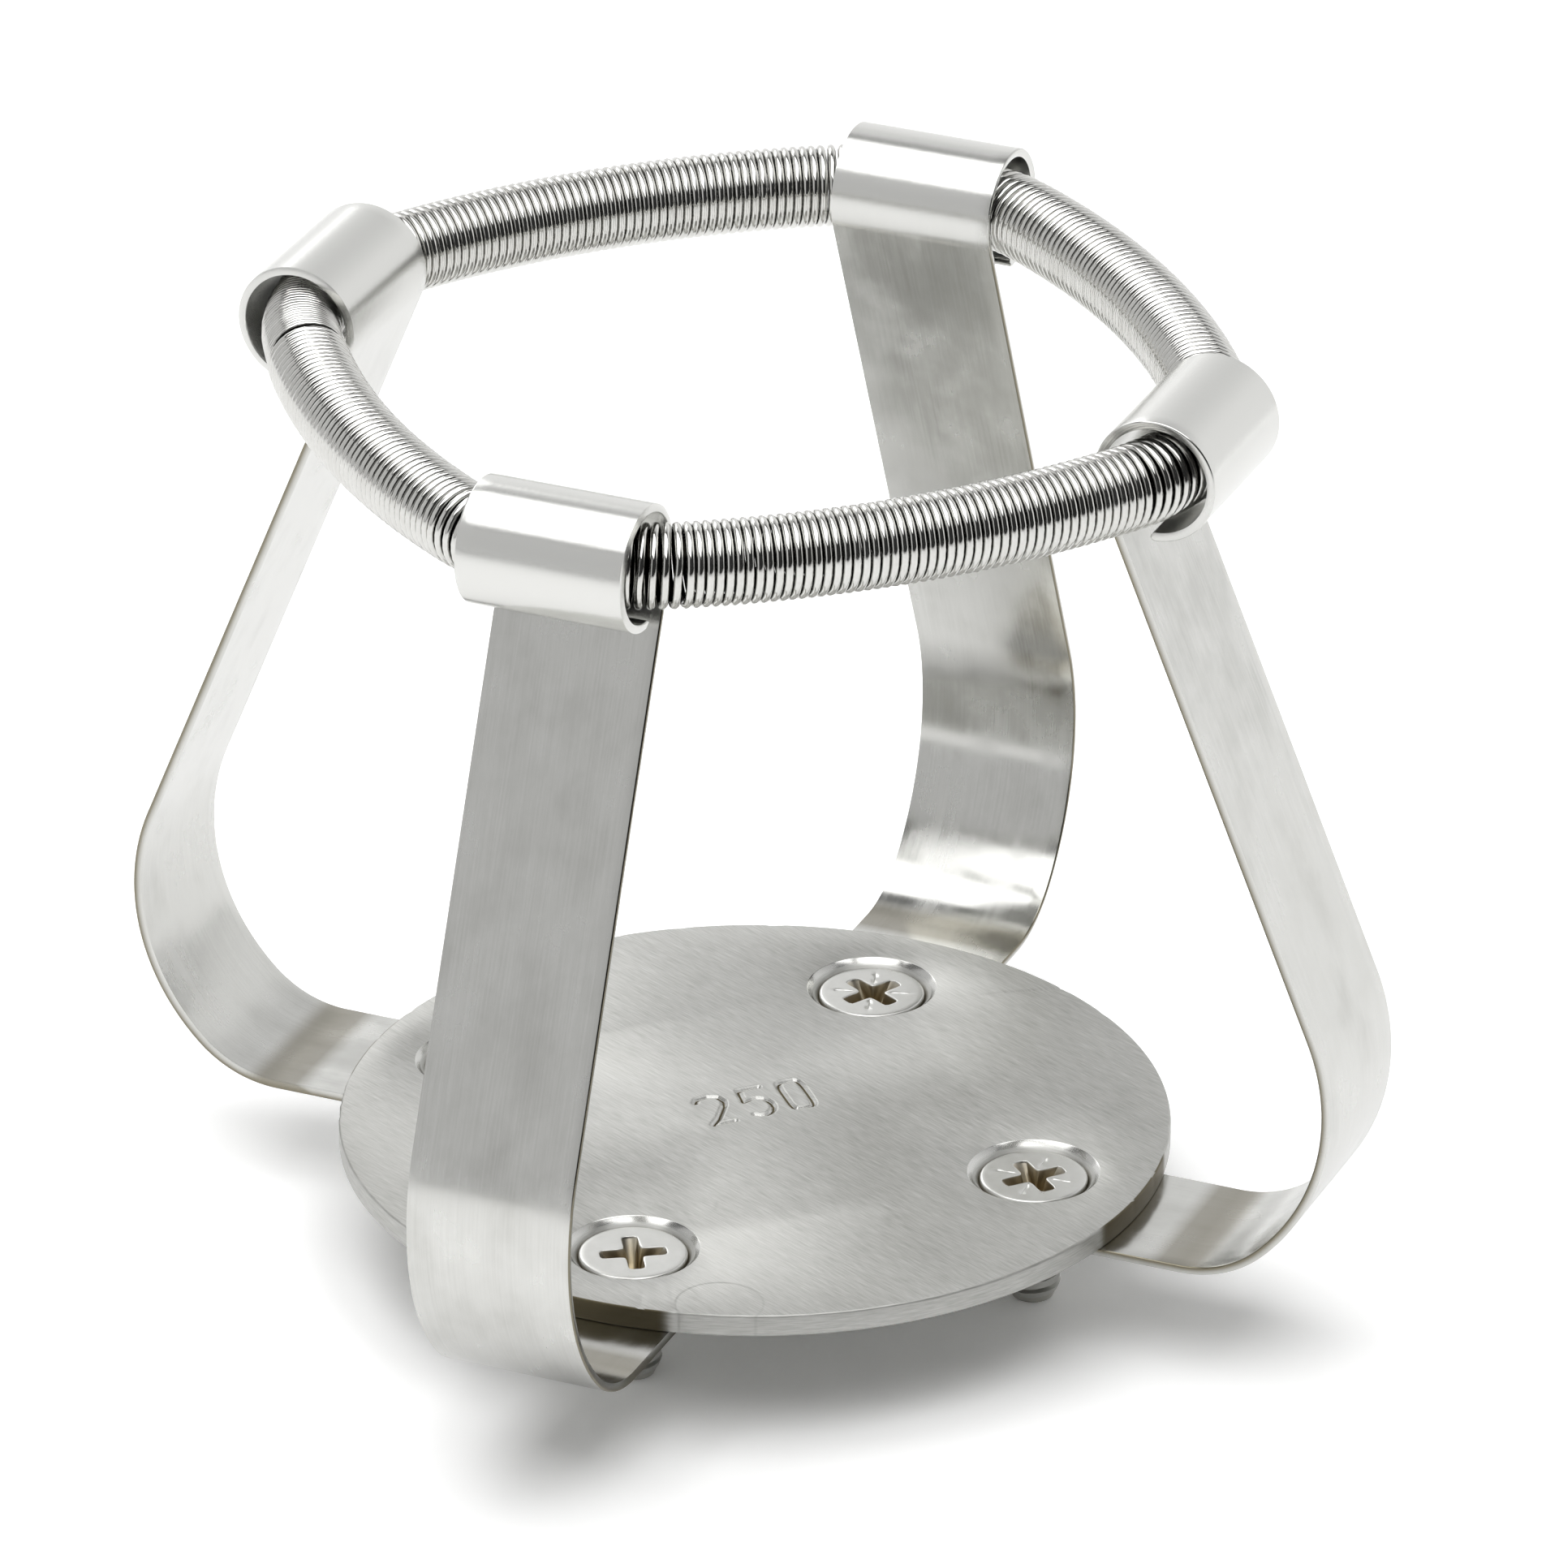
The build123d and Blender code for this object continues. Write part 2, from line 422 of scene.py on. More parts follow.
    def gloss(
        self,
        tree: bpy.types.NodeTree,
        streaks: bpy.types.NodeSocket,
        smudge: bpy.types.NodeSocket,
        polished: bpy.types.NodeSocket,
    ) -> bpy.types.NodeSocket:
        """Add up the roughness of the streaks and the smudges, outside the polished places.

        Args:
            tree: The material's tree.
            streaks: The height of the grain and fibres.
            smudge: The handling smudges.
            polished: How polished a place is, from 0 to 1.

        Returns:
            The roughness.
        """
        bare = add_node(tree, "ShaderNodeMapRange", {},
                        {"Value": streaks, "From Min": self.STREAK_RANGE[0],
                         "From Max": self.STREAK_RANGE[1], "To Min": self.roughness[0],
                         "To Max": self.roughness[1]}).outputs[0]
        film = add_node(tree, "ShaderNodeMapRange", {"interpolation_type": "SMOOTHSTEP"},
                        {"Value": smudge, "From Min": self.SMUDGE_RANGE[0],
                         "From Max": self.SMUDGE_RANGE[1],
                         "To Max": self.smudge_roughness}).outputs[0]
        rough = add_node(tree, "ShaderNodeMath", {"operation": "ADD"},
                         {0: bare, 1: film}).outputs[0]
        return add_node(tree, "ShaderNodeMix", {"data_type": "FLOAT"},
                        {0: polished, 2: rough, 3: self.cut_roughness}).outputs[0]

    def place(self, tree: bpy.types.NodeTree) -> bpy.types.NodeSocket:
        """Return the coordinate that the patterns read, in millimetres."""
        if self.guide is GrainGuide.SURFACE:
            return add_node(tree, "ShaderNodeUVMap", {"uv_map": GRAIN_MAP}).outputs[0]
        here = add_node(tree, "ShaderNodeTexCoord").outputs["Object"]
        return add_node(tree, "ShaderNodeVectorMath", {"operation": "SCALE"},
                        {0: here, "Scale": 1 / MM}).outputs[0]

    def stretched_noise(
        self,
        tree: bpy.types.NodeTree,
        place: bpy.types.NodeSocket,
        width: float,
        length: float,
        detail: float,
    ) -> bpy.types.NodeSocket:
        """Add a noise whose swells have a width and a length.

        Args:
            tree: The material's tree.
            place: The coordinate in millimetres.
            width: Width of a swell across the grain, in mm.
            length: Length of a swell along the grain, in mm.
            detail: How many finer layers it has.

        Returns:
            A value of about 0.3 to 0.7.
        """
        scaled = add_node(tree, "ShaderNodeVectorMath", {"operation": "MULTIPLY"},
                          {0: place, 1: (1 / width, 1 / length, 1 / width)}).outputs[0]
        return add_node(tree, "ShaderNodeTexNoise", {},
                        {"Vector": scaled, "Scale": 1.0, "Detail": detail,
                         "Roughness": 0.55}).outputs[0]

    def orange_peel(
        self,
        tree: bpy.types.NodeTree,
        place: bpy.types.NodeSocket,
        share: bpy.types.NodeSocket,
        normal: bpy.types.NodeSocket,
    ) -> bpy.types.NodeSocket:
        """Add the fine pits of steel that was rolled to a tight bend.

        Args:
            tree: The material's tree.
            place: The coordinate in millimetres.
            share: How much of it shows, from 0 to 1.
            normal: The normal below it.

        Returns:
            The new normal.
        """
        pits = add_node(tree, "ShaderNodeTexVoronoi", {"feature": "SMOOTH_F1"},
                        {"Vector": place, "Scale": 1 / self.peel_size,
                         "Smoothness": 0.6}).outputs[0]
        return add_node(tree, "ShaderNodeBump", {},
                        {"Strength": share, "Distance": self.peel_depth * MM, "Height": pits,
                         "Normal": normal}).outputs[0]

    def scratches(
        self,
        tree: bpy.types.NodeTree,
        place: bpy.types.NodeSocket,
        normal: bpy.types.NodeSocket,
        rough: bpy.types.NodeSocket,
    ) -> tuple[bpy.types.NodeSocket, bpy.types.NodeSocket]:
        """Add sparse hairline scratches that lie near the grain's direction.

        Args:
            tree: The material's tree.
            place: The coordinate in millimetres.
            normal: The normal below them.
            rough: The roughness below them.

        Returns:
            The new normal and the new roughness.
        """
        width, length = self.SCRATCH_CELL
        turned = add_node(tree, "ShaderNodeMapping", {},
                          {"Vector": place, "Rotation": (0, 0, math.radians(self.SCRATCH_TURN)),
                           "Scale": (1 / width, 1 / length, 1)}).outputs[0]
        lines = add_node(tree, "ShaderNodeTexVoronoi", {"feature": "DISTANCE_TO_EDGE"},
                         {"Vector": turned, "Scale": 1.0}).outputs[0]
        cut = add_node(tree, "ShaderNodeMapRange", {},
                       {"Value": lines, "From Min": 0.0, "From Max": self.SCRATCH_WIDTH,
                        "To Min": 1.0, "To Max": 0.0}).outputs[0]
        patch = self.stretched_noise(tree, place, self.SCRATCH_PATCH, self.SCRATCH_PATCH, 1.0)
        shown = add_node(tree, "ShaderNodeMapRange", {},
                         {"Value": patch, "From Min": self.PATCH_RANGE[0],
                          "From Max": self.PATCH_RANGE[1]}).outputs[0]
        cut = add_node(tree, "ShaderNodeMath", {"operation": "MULTIPLY"},
                       {0: cut, 1: shown}).outputs[0]
        normal = add_node(tree, "ShaderNodeBump", {"invert": True},
                          {"Strength": 1.0, "Distance": self.scratch_depth * MM,
                           "Height": cut, "Normal": normal}).outputs[0]
        rough = add_node(tree, "ShaderNodeMath", {"operation": "MULTIPLY_ADD"},
                         {0: cut, 1: self.SCRATCH_ROUGHNESS, 2: rough}).outputs[0]
        return normal, rough

    def witness_ring(
        self, tree: bpy.types.NodeTree, rough: bpy.types.NodeSocket
    ) -> bpy.types.NodeSocket:
        """Add the faint ring that a tool left on the plate.

        Args:
            tree: The material's tree.
            rough: The roughness below it.

        Returns:
            The new roughness.
        """
        x, y, radius = self.ring_mark
        here = add_node(tree, "ShaderNodeTexCoord").outputs["Object"]
        flat = add_node(tree, "ShaderNodeVectorMath", {"operation": "MULTIPLY"},
                        {0: here, 1: (1 / MM, 1 / MM, 0)}).outputs[0]
        away = add_node(tree, "ShaderNodeVectorMath", {"operation": "DISTANCE"},
                        {0: flat, 1: (x, y, 0)}).outputs["Value"]
        off = add_node(tree, "ShaderNodeMath", {"operation": "SUBTRACT"},
                       {0: away, 1: radius}).outputs[0]
        off = add_node(tree, "ShaderNodeMath", {"operation": "ABSOLUTE"}, {0: off}).outputs[0]
        line = add_node(tree, "ShaderNodeMapRange", {},
                        {"Value": off, "From Min": self.RING_LINE[0],
                         "From Max": self.RING_LINE[1], "To Min": self.RING_ROUGHNESS,
                         "To Max": 0.0}).outputs[0]
        return add_node(tree, "ShaderNodeMath", {"operation": "ADD"},
                        {0: rough, 1: line}).outputs[0]


# Cold-rolled stainless sheet: a satin grey with fine straight rolling lines, which spread a
# reflection across them. Real lines are about 0.03 mm wide, too fine for a picture, so they are
# drawn 0.1 mm wide.
# Its dark brown is painted shade on the rim behind the straps and at the roots of the stamped
# strokes.
PLATE_FINISH = SteelFinish(
    "rolled_stainless_sheet", bright="#CACAC7", dull="#A7A7A3", soil_and_shade="#544B33",
    roughness=(0.42, 0.52), anisotropy=0.45, grain_width=0.1, grain_length=1.7,
    grain_depth=0.0018, smudge_size=7.0, smudge_roughness=0.05, scratch_depth=0.0006,
    smudge_share=0.2, ring_mark=(8.6, -26.0, 3.0),
)
# Bright-rolled spring strip: glossier than sheet, with lengthwise lines, finger smudges, and a
# fine orange peel where it is rolled to a loop. Its lines and its peel are drawn about three
# times as coarse as they are, so that they show.
# Its dark brown darkens the sheared edges, and is painted shade on the inner face near the toe.
STRAP_FINISH = SteelFinish(
    "bright_spring_strip", bright="#D9D9D6", dull="#BDBDB9", soil_and_shade="#655C40",
    roughness=(0.15, 0.19), anisotropy=0.3, grain_width=0.14, grain_length=9.0,
    grain_depth=0.0005, smudge_size=4.5, smudge_roughness=0.16, peel_size=0.28,
    peel_depth=0.0025, cut_roughness=0.24, smudge_share=0.75,
)
# Hard-drawn spring wire: almost a mirror, darkened between the turns and inside the coil, partly
# brown dirt where polish can't reach and partly painted shade.
# Its drawing marks are far too fine to show, and a faint unevenness of 0.2 mm stands for them.
WIRE_FINISH = SteelFinish(
    "drawn_spring_wire", bright="#D9D9D6", dull="#CBCAC6", soil_and_shade="#34302A",
    roughness=(0.07, 0.12), anisotropy=0.0, grain_width=0.2, grain_length=0.2,
    grain_depth=0.0002, smudge_size=3.0, smudge_roughness=0.05, guide=GrainGuide.PLACE,
)
# Cold-headed and passivated stainless screw: soft bright head, dull brown in the recess, and
# a mottling of about 1 mm from the acid bath.
SCREW_FINISH = SteelFinish(
    "passivated_screw_steel", bright="#D8D8D5", dull="#CCCCC8", soil_and_shade="#A09378",
    roughness=(0.26, 0.34), anisotropy=0.0, grain_width=1.1, grain_length=1.1,
    grain_depth=0.0006, smudge_size=1.5, smudge_roughness=0.05,
)


@dataclass(frozen=True)
class Stretch:
    """One stretch of a strap's middle line, straight or bent."""

    length: float
    turn: float
    steps: int


@dataclass
class Strap:
    """One bent strap: foot, toe bend, side bend, leaning straight and rolled loop."""

    name: str
    node: str
    turn: float
    edge_radius: float = 0.13
    face_columns: int = 12
    corner_steps: int = 3
    foot_corner_steps: int = 6
    end_steps: int = 5
    end_step_turn: float = 16.0
    forming_before: float = 3.0
    forming_after: float = 2.0
    # Painted shade on the inner face round the toe bend's start: full within the core, gone at the
    # reach, and how dark it is.
    painted_shade_core: float = 1.0
    painted_shade_reach: float = 3.2
    toe_painted_shade: float = 0.55
    edge_soil: float = 0.7
    edge_share: float = 0.8
    sharp_angle: float = 40.0
    hole_segments: int = 64
    hole_overshoot: float = 0.2

    def stretches(self) -> list[Stretch]:
        """Return the stretches of the middle line from foot to loop."""
        half = SIZES.strap_thickness / 2
        toe_radius = SIZES.toe_bend_radius - half
        side_radius = SIZES.side_bend_radius - half
        loop_radius = SIZES.loop_bore_radius + half
        side_turn = 90.0 - SIZES.toe_bend_turn + SIZES.strap_lean
        return [
            Stretch(self.toe_start() - self.foot_start(), 0.0, 16),
            Stretch(toe_radius * math.radians(SIZES.toe_bend_turn), SIZES.toe_bend_turn, 22),
            Stretch(side_radius * math.radians(side_turn), side_turn, 46),
            Stretch(SIZES.straight_length, 0.0, 28),
            Stretch(loop_radius * math.radians(SIZES.loop_turn), -SIZES.loop_turn, 120),
        ]

    def foot_start(self) -> float:
        """Return the radius where the foot ends under the plate."""
        return SIZES.screw_circle_radius - SIZES.foot_tail

    def toe_start(self) -> float:
        """Return the radius where the toe bend starts."""
        angle = math.radians(SIZES.toe_bend_turn - 90.0)
        bend = (SIZES.toe_bend_radius - SIZES.side_bend_radius) * math.cos(angle)
        return SIZES.strap_reach - bend - (SIZES.side_bend_radius - SIZES.strap_thickness)

    def stations(self) -> np.ndarray:
        """Trace the middle line.

        Returns:
            Rows of radius, height, heading, distance, half width and half thickness.
        """
        half = SIZES.strap_thickness / 2
        half_width = SIZES.strap_width / 2
        corner = SIZES.foot_corner_radius
        rows = []
        for step in range(self.foot_corner_steps + 1):
            angle = math.radians(90.0 * step / self.foot_corner_steps)
            ahead = corner * (1 - math.cos(angle))
            rows.append((self.foot_start() + ahead, half, 0.0, ahead,
                         half_width - corner + corner * math.sin(angle), half))
        radius, height, heading, run = self.foot_start(), half, 0.0, 0.0
        for stretch in self.stretches():
            curve = math.radians(stretch.turn) / stretch.length
            for step in range(1, stretch.steps + 1):
                ahead = stretch.length * step / stretch.steps
                if curve:
                    after = heading + curve * ahead
                    x = radius + (math.sin(after) - math.sin(heading)) / curve
                    z = height + (math.cos(heading) - math.cos(after)) / curve
                else:
                    after, x, z = heading, radius + ahead * math.cos(heading), height
                    z += ahead * math.sin(heading)
                if run + ahead > corner:
                    rows.append((x, z, after, run + ahead, half_width, half))
            radius, height, heading, run = x, z, after, run + stretch.length
        for step in range(1, self.end_steps + 1):
            angle = math.radians(self.end_step_turn * step)
            ahead = half * math.sin(angle)
            rows.append((radius + ahead * math.cos(heading), height + ahead * math.sin(heading),
                         heading, run + ahead, half_width, half * math.cos(angle)))
        return np.array(rows)

    def section(self, half_width: float, half_thickness: float) -> np.ndarray:
        """Return the points round the strip's section, with rounded edges.

        Args:
            half_width: Half the strip's width here.
            half_thickness: Half the strip's thickness here.

        Returns:
            Rows of the place across the width and towards the outer face.
        """
        edge = min(self.edge_radius, half_thickness)
        flat = half_width - edge
        deep = half_thickness - edge
        across = np.linspace(-flat, flat, self.face_columns + 1)
        outer = [(value, half_thickness) for value in across]
        corner = [
            (edge * math.sin(angle), edge * math.cos(angle))
            for angle in (math.radians(90 * (step + 1) / (self.corner_steps + 1))
                          for step in range(self.corner_steps + 1))
        ]
        right = [(flat + x, deep + y) for x, y in corner]
        half_ring = outer + right
        return np.array(half_ring + [(-x, -y) for x, y in half_ring])

    def build(self, finish: bpy.types.Material) -> bpy.types.Object:
        """Sweep the section along the middle line and cut the screw hole.

        Args:
            finish: The strap's material.

        Returns:
            The finished strap.
        """
        data = MeshData()
        stations = self.stations()
        full = self.section(SIZES.strap_width / 2, SIZES.strap_thickness / 2)
        steps = np.linalg.norm(np.diff(np.vstack([full, full[:1]]), axis=0), axis=1)
        around = np.concatenate([[0.0], np.cumsum(steps)])
        count = len(full)
        loop_start = stations[-1][3] - SIZES.loop_bore_radius * math.radians(SIZES.loop_turn)
        toe_run = self.toe_start() - self.foot_start()
        for radius, height, heading, run, half_width, half_thickness in stations:
            ring = self.section(half_width, half_thickness)
            reach = radius + ring[:, 1] * math.sin(heading)
            level = height - ring[:, 1] * math.cos(heading)
            formed = smooth_step(
                loop_start - self.forming_before, loop_start + self.forming_after, run)
            # Painted shade on the inner face where the toe bend starts, just beyond the plate's
            # rim.
            toe_shade_share = 1 - smooth_step(self.painted_shade_core, self.painted_shade_reach, abs(run - toe_run))
            sheared = np.abs(ring[:, 0]) > half_width - self.edge_radius * self.edge_share
            wear_and_shade = np.where(ring[:, 1] < 0, self.toe_painted_shade * toe_shade_share, 0.0)
            wear_and_shade = np.maximum(wear_and_shade, np.where(sheared, self.edge_soil, 0.0)) - formed
            data.add_points(zip(reach, ring[:, 0], level), wear_and_shade)
        for row in range(len(stations) - 1):
            near, far = stations[row][3], stations[row + 1][3]
            for column in range(count):
                following = (column + 1) % count
                corners = (row * count + column, row * count + following,
                           (row + 1) * count + following, (row + 1) * count + column)
                left, right = around[column], around[column + 1]
                data.add_face(corners, ((left, near), (right, near), (right, far), (left, far)))
        for start in (0, (len(stations) - 1) * count):
            data.add_face(range(start, start + count), full)
        piece = data.object(self.name, self.turn)
        tidy_mesh(piece, self.sharp_angle)
        self.cut_hole(piece)
        shade_smooth(piece, self.sharp_angle)
        hand_over(piece, self.node, finish)
        return piece

    def cut_hole(self, piece: bpy.types.Object) -> None:
        """Cut the countersunk screw hole through the foot."""
        work = bmesh.new()
        drop = SIZES.plate_top + self.hole_overshoot
        low = SIZES.countersink_radius - drop * SIZES.countersink_slope
        bmesh.ops.create_cone(
            work, cap_ends=True, segments=self.hole_segments,
            radius1=max(low, SIZES.screw_hole_radius) * MM,
            radius2=SIZES.countersink_radius * MM, depth=drop * MM,
            matrix=Matrix.Translation((SIZES.screw_circle_radius * MM, 0,
                                       (SIZES.plate_top - drop / 2) * MM)))
        mesh = bpy.data.meshes.new("hole_cutter")
        work.to_mesh(mesh)
        work.free()
        mesh.transform(Matrix.Rotation(math.radians(self.turn), 4, "Z"))
        cutter = add_object("hole_cutter", mesh)
        cut = piece.modifiers.new("hole", "BOOLEAN")
        cut.object = cutter
        cut.operation = "DIFFERENCE"
        cut.solver = "EXACT"
        baked_copy(piece)
        bpy.data.objects.remove(cutter)


@dataclass
class StampedNumber:
    """The plain number 250, struck into the plate with single-stroke punches."""

    origin: tuple[float, float] = (-2.6, -3.1)
    turn: float = 46.0
    slant: float = 4.0
    height: float = 4.0
    width: float = 2.0
    advance: float = 3.1
    first: float = 0.6
    groove_width: float = 0.56
    groove_depth: float = 0.27
    groove_root: float = 0.03
    shoulder: float = 0.012
    shoulder_place: float = 1.45
    shoulder_spread: float = 0.4
    flank_polish: float = 1.8
    # Painted shade at the groove's root, and the share of the depth where it starts and where it is
    # full.
    root_painted_shade: float = 2.2
    root_start: tuple[float, float] = (0.5, 0.85)

    def strokes(self) -> list[np.ndarray]:
        """Return the strokes of the three digits, each in a box of 1 by 1."""
        bowl = [(math.cos(math.radians(angle)), math.sin(math.radians(angle)))
                for angle in range(100, -131, -23)]
        two = [(0.0, 0.86), (0.12, 0.97), (0.55, 1.0), (0.88, 0.93), (1.0, 0.76), (0.92, 0.6),
               (0.45, 0.2), (0.1, 0.0), (0.92, 0.0)]
        five_top = [(0.92, 1.0), (0.16, 1.0), (0.08, 0.58)]
        five_bowl = [(0.08, 0.58)] + [(0.5 + 0.5 * x, 0.32 + 0.32 * y) for x, y in bowl]
        nought = [(0.46 + 0.42 * np.sign(x) * abs(x) ** 0.3, 0.5 + 0.5 * np.sign(y) * abs(y) ** 0.5)
                  for x, y in ((math.cos(turn), math.sin(turn))
                               for turn in np.linspace(0, 2 * math.pi, 33))]
        digits = [[two], [five_top, five_bowl], [nought]]
        placed = []
        for index, parts in enumerate(digits):
            for part in parts:
                box = np.array(part, float) * (self.width, self.height)
                box[:, 0] += self.first + self.advance * index
                box[:, 0] += box[:, 1] * math.tan(math.radians(self.slant))
                placed.append(self.on_plate(box))
        return placed

    def on_plate(self, places: np.ndarray) -> np.ndarray:
        """Turn places in the number's own frame to places on the plate."""
        angle = math.radians(self.turn)
        along = np.array((math.cos(angle), math.sin(angle)))
        up = np.array((-math.sin(angle), math.cos(angle)))
        return np.array(self.origin) + places[:, :1] * along + places[:, 1:] * up

    def distance(self, places: np.ndarray) -> np.ndarray:
        """Return the distance of each place from the nearest stroke."""
        nearest = np.full(len(places), np.inf)
        for stroke in self.strokes():
            for start, end in zip(stroke[:-1], stroke[1:]):
                side = end - start
                share = np.clip(((places - start) @ side) / max(side @ side, 1e-12), 0, 1)
                foot = start + share[:, None] * side
                nearest = np.minimum(nearest, np.linalg.norm(places - foot, axis=1))
        return nearest

    def height_at(self, distance: np.ndarray) -> np.ndarray:
        """Return how high the plate's face stands at a distance from a stroke.

        Args:
            distance: Distances from the nearest stroke.

        Returns:
            The groove's depth as a negative height, and the raised shoulder beside it.
        """
        half = self.groove_width / 2
        off = np.hypot(distance, self.groove_root)
        groove = -self.groove_depth * np.clip(1 - off / half, 0, 1)
        beside = (distance - half * self.shoulder_place) / (half * self.shoulder_spread)
        return groove + self.shoulder * np.exp(-beside ** 2)

    def wear_and_shade_at(self, height: np.ndarray) -> np.ndarray:
        """Return the value at a height: polished flanks, and painted shade at the groove's root."""
        depth = -height / self.groove_depth
        root_shade = self.root_painted_shade * smooth_step(*self.root_start, depth)
        return root_shade - np.clip(self.flank_polish * depth, 0, 1)


@dataclass
class Plate:
    """The round plate with its four countersinks, its broken edge and its stamped number."""

    name: str = "base_plate_sheet"
    node: str = "base_plate"
    rim_points: int = 720
    hole_points: int = 96
    edge_steps: int = 3
    stamp_spacing: float = 0.055
    stamp_margin: float = 0.5
    stamp_reach: tuple[float, float] = (-7.0, 8.0)
    grain_turn: float = -25.5
    hole_lip: float = 0.06
    hole_foot: float = 0.1
    hole_wear: tuple[tuple[float, float], ...] = ((0.3, -0.8), (0.55, 0.2), (0.8, 0.8))
    # Painted shade on the rim behind each strap, and where it fades out.
    rim_painted_shade: float = 0.8
    rim_shade_fade: tuple[float, float] = (0.85, 1.1)
    nick_count: int = 26
    nick_widths: tuple[float, float] = (0.25, 0.7)
    nick_depths: tuple[float, float] = (0.02, 0.07)
    nick_height: float = 0.2
    nick_drop: float = 0.6
    seed: int = 5
    sharp_angle: float = 38.0
    number: StampedNumber = field(default_factory=StampedNumber)

    def grain_of(self, point: Sequence[float]) -> tuple[float, float]:
        """Return the grain coordinate of a point: across the rolling lines, then along."""
        angle = math.radians(self.grain_turn)
        along = point[0] * math.cos(angle) + point[1] * math.sin(angle)
        across = -point[0] * math.sin(angle) + point[1] * math.cos(angle)
        return across, along

    def hole_centres(self) -> list[tuple[float, float]]:
        """Return the centres of the four screw holes."""
        radius = SIZES.screw_circle_radius
        return [(radius, 0.0), (0.0, radius), (-radius, 0.0), (0.0, -radius)]

    def stamp_points(self) -> np.ndarray:
        """Return a fine grid of points round the number's strokes."""
        axis = np.arange(*self.stamp_reach, self.stamp_spacing)
        grid = np.array(np.meshgrid(axis, axis)).reshape(2, -1).T
        return grid[self.number.distance(grid) < self.stamp_margin]

    def flat_face(
        self, data: MeshData, rim: float, hole: float, level: float, stamped: bool
    ) -> tuple[list[int], list[list[int]]]:
        """Fill a round face that has four round holes.

        Args:
            data: The mesh that gets the face.
            rim: The face's radius.
            hole: The radius of the holes.
            level: The height of the face.
            stamped: Whether the number is struck into it.

        Returns:
            The points of the rim, and those of each hole.
        """
        circles = [self.circle((0.0, 0.0), rim, self.rim_points)]
        circles += [self.circle(centre, hole, self.hole_points) for centre in self.hole_centres()]
        flat = np.vstack(circles)
        edges, starts, start = [], [], 0
        for circle in circles:
            count = len(circle)
            edges += [(start + i, start + (i + 1) % count) for i in range(count)]
            starts.append(start)
            start += count
        if stamped:
            flat = np.vstack([flat, self.stamp_points()])
        made = delaunay_2d_cdt([Vector(row) for row in flat], edges, [], 1, 1e-6)
        verts, triangles = np.array([tuple(v) for v in made[0]]), made[2]
        heights = np.full(len(verts), level)
        wear_and_shade = np.zeros(len(verts))
        if stamped:
            sunk = self.number.height_at(self.number.distance(verts))
            heights = heights + sunk
            wear_and_shade = self.number.wear_and_shade_at(sunk)
        first = data.add_points(np.column_stack([verts, heights]), wear_and_shade)
        centres = np.array(self.hole_centres())
        for triangle in triangles:
            middle = verts[list(triangle)].mean(axis=0)
            if np.linalg.norm(centres - middle, axis=1).min() > hole * 0.999:
                corners = [first + index for index in triangle]
                data.add_face(corners, [self.grain_of(data.points[c]) for c in corners])
        rings = [[first + start + i for i in range(len(circle))]
                 for start, circle in zip(starts, circles)]
        return rings[0], rings[1:]

    def circle(self, centre: tuple[float, float], radius: float, count: int) -> np.ndarray:
        """Return points round a circle."""
        angles = np.arange(count) * 2 * math.pi / count
        return np.column_stack([centre[0] + radius * np.cos(angles),
                                centre[1] + radius * np.sin(angles)])

    def wall(
        self, data: MeshData, upper: list[int], lower: list[int],
        centre: tuple[float, float], profile: Sequence[tuple[float, float, float]]
    ) -> None:
        """Join two rings by a wall that follows a profile.

        Args:
            data: The mesh that gets the wall.
            upper: The points of the upper ring.
            lower: The points of the lower ring.
            centre: The rings' centre.
            profile: Radius, height and wear of each ring between them.
        """
        count = len(upper)
        rings = [upper]
        for radius, level, wear_and_shade in profile:
            flat = self.circle(centre, radius, count)
            first = data.add_points([(x, y, level) for x, y in flat], wear_and_shade)
            rings.append(list(range(first, first + count)))
        rings.append(lower)
        step = 2 * math.pi * profile[0][0] / count
        for near, far in zip(rings[:-1], rings[1:]):
            high, low = data.points[near[0]][2], data.points[far[0]][2]
            for i in range(count):
                j = (i + 1) % count
                data.add_face((near[i], near[j], far[j], far[i]),
                              ((high, i * step), (high, (i + 1) * step),
                               (low, (i + 1) * step), (low, i * step)))

    def build(self, finish: bpy.types.Material) -> bpy.types.Object:
        """Build the plate.

        Args:
            finish: The plate's material.

        Returns:
            The finished plate.
        """
        data = MeshData()
        edge = SIZES.plate_edge_break
        top, bottom = SIZES.plate_top, SIZES.strap_thickness
        outer = SIZES.plate_radius
        sink = SIZES.countersink_radius
        lip = self.hole_lip
        foot = sink - SIZES.plate_thickness * SIZES.countersink_slope
        rim_top, holes_top = self.flat_face(data, outer - edge, sink + lip / 2, top, True)
        rim_low, holes_low = self.flat_face(data, outer - edge, foot, bottom, False)
        bend = [math.radians(90 * (step + 1) / self.edge_steps) for step in range(self.edge_steps)]
        upper = [(outer - edge + edge * math.sin(a), top - edge + edge * math.cos(a), 0.0)
                 for a in bend]
        lower = [(radius, top + bottom - level, 0.0) for radius, level, _ in reversed(upper)]
        self.wall(data, rim_top, rim_low, (0.0, 0.0), upper + lower)
        for centre, ring_top, ring_low in zip(self.hole_centres(), holes_top, holes_low):
            profile = [(sink, top - lip / 3, -1.0), (sink - lip, top - lip, -1.0)]
            profile += [(sink - drop, top - drop * SIZES.countersink_slope, wear_and_shade)
                        for drop, wear_and_shade in self.hole_wear]
            profile.append((foot + self.hole_foot, bottom + self.hole_foot, self.hole_wear[-1][1]))
            self.wall(data, ring_top, ring_low, centre, profile)
        self.nick_rim(data)
        self.paint_rim_shade(data)
        piece = data.object(self.name)
        tidy_mesh(piece, self.sharp_angle)
        hand_over(piece, self.node, finish)
        return piece

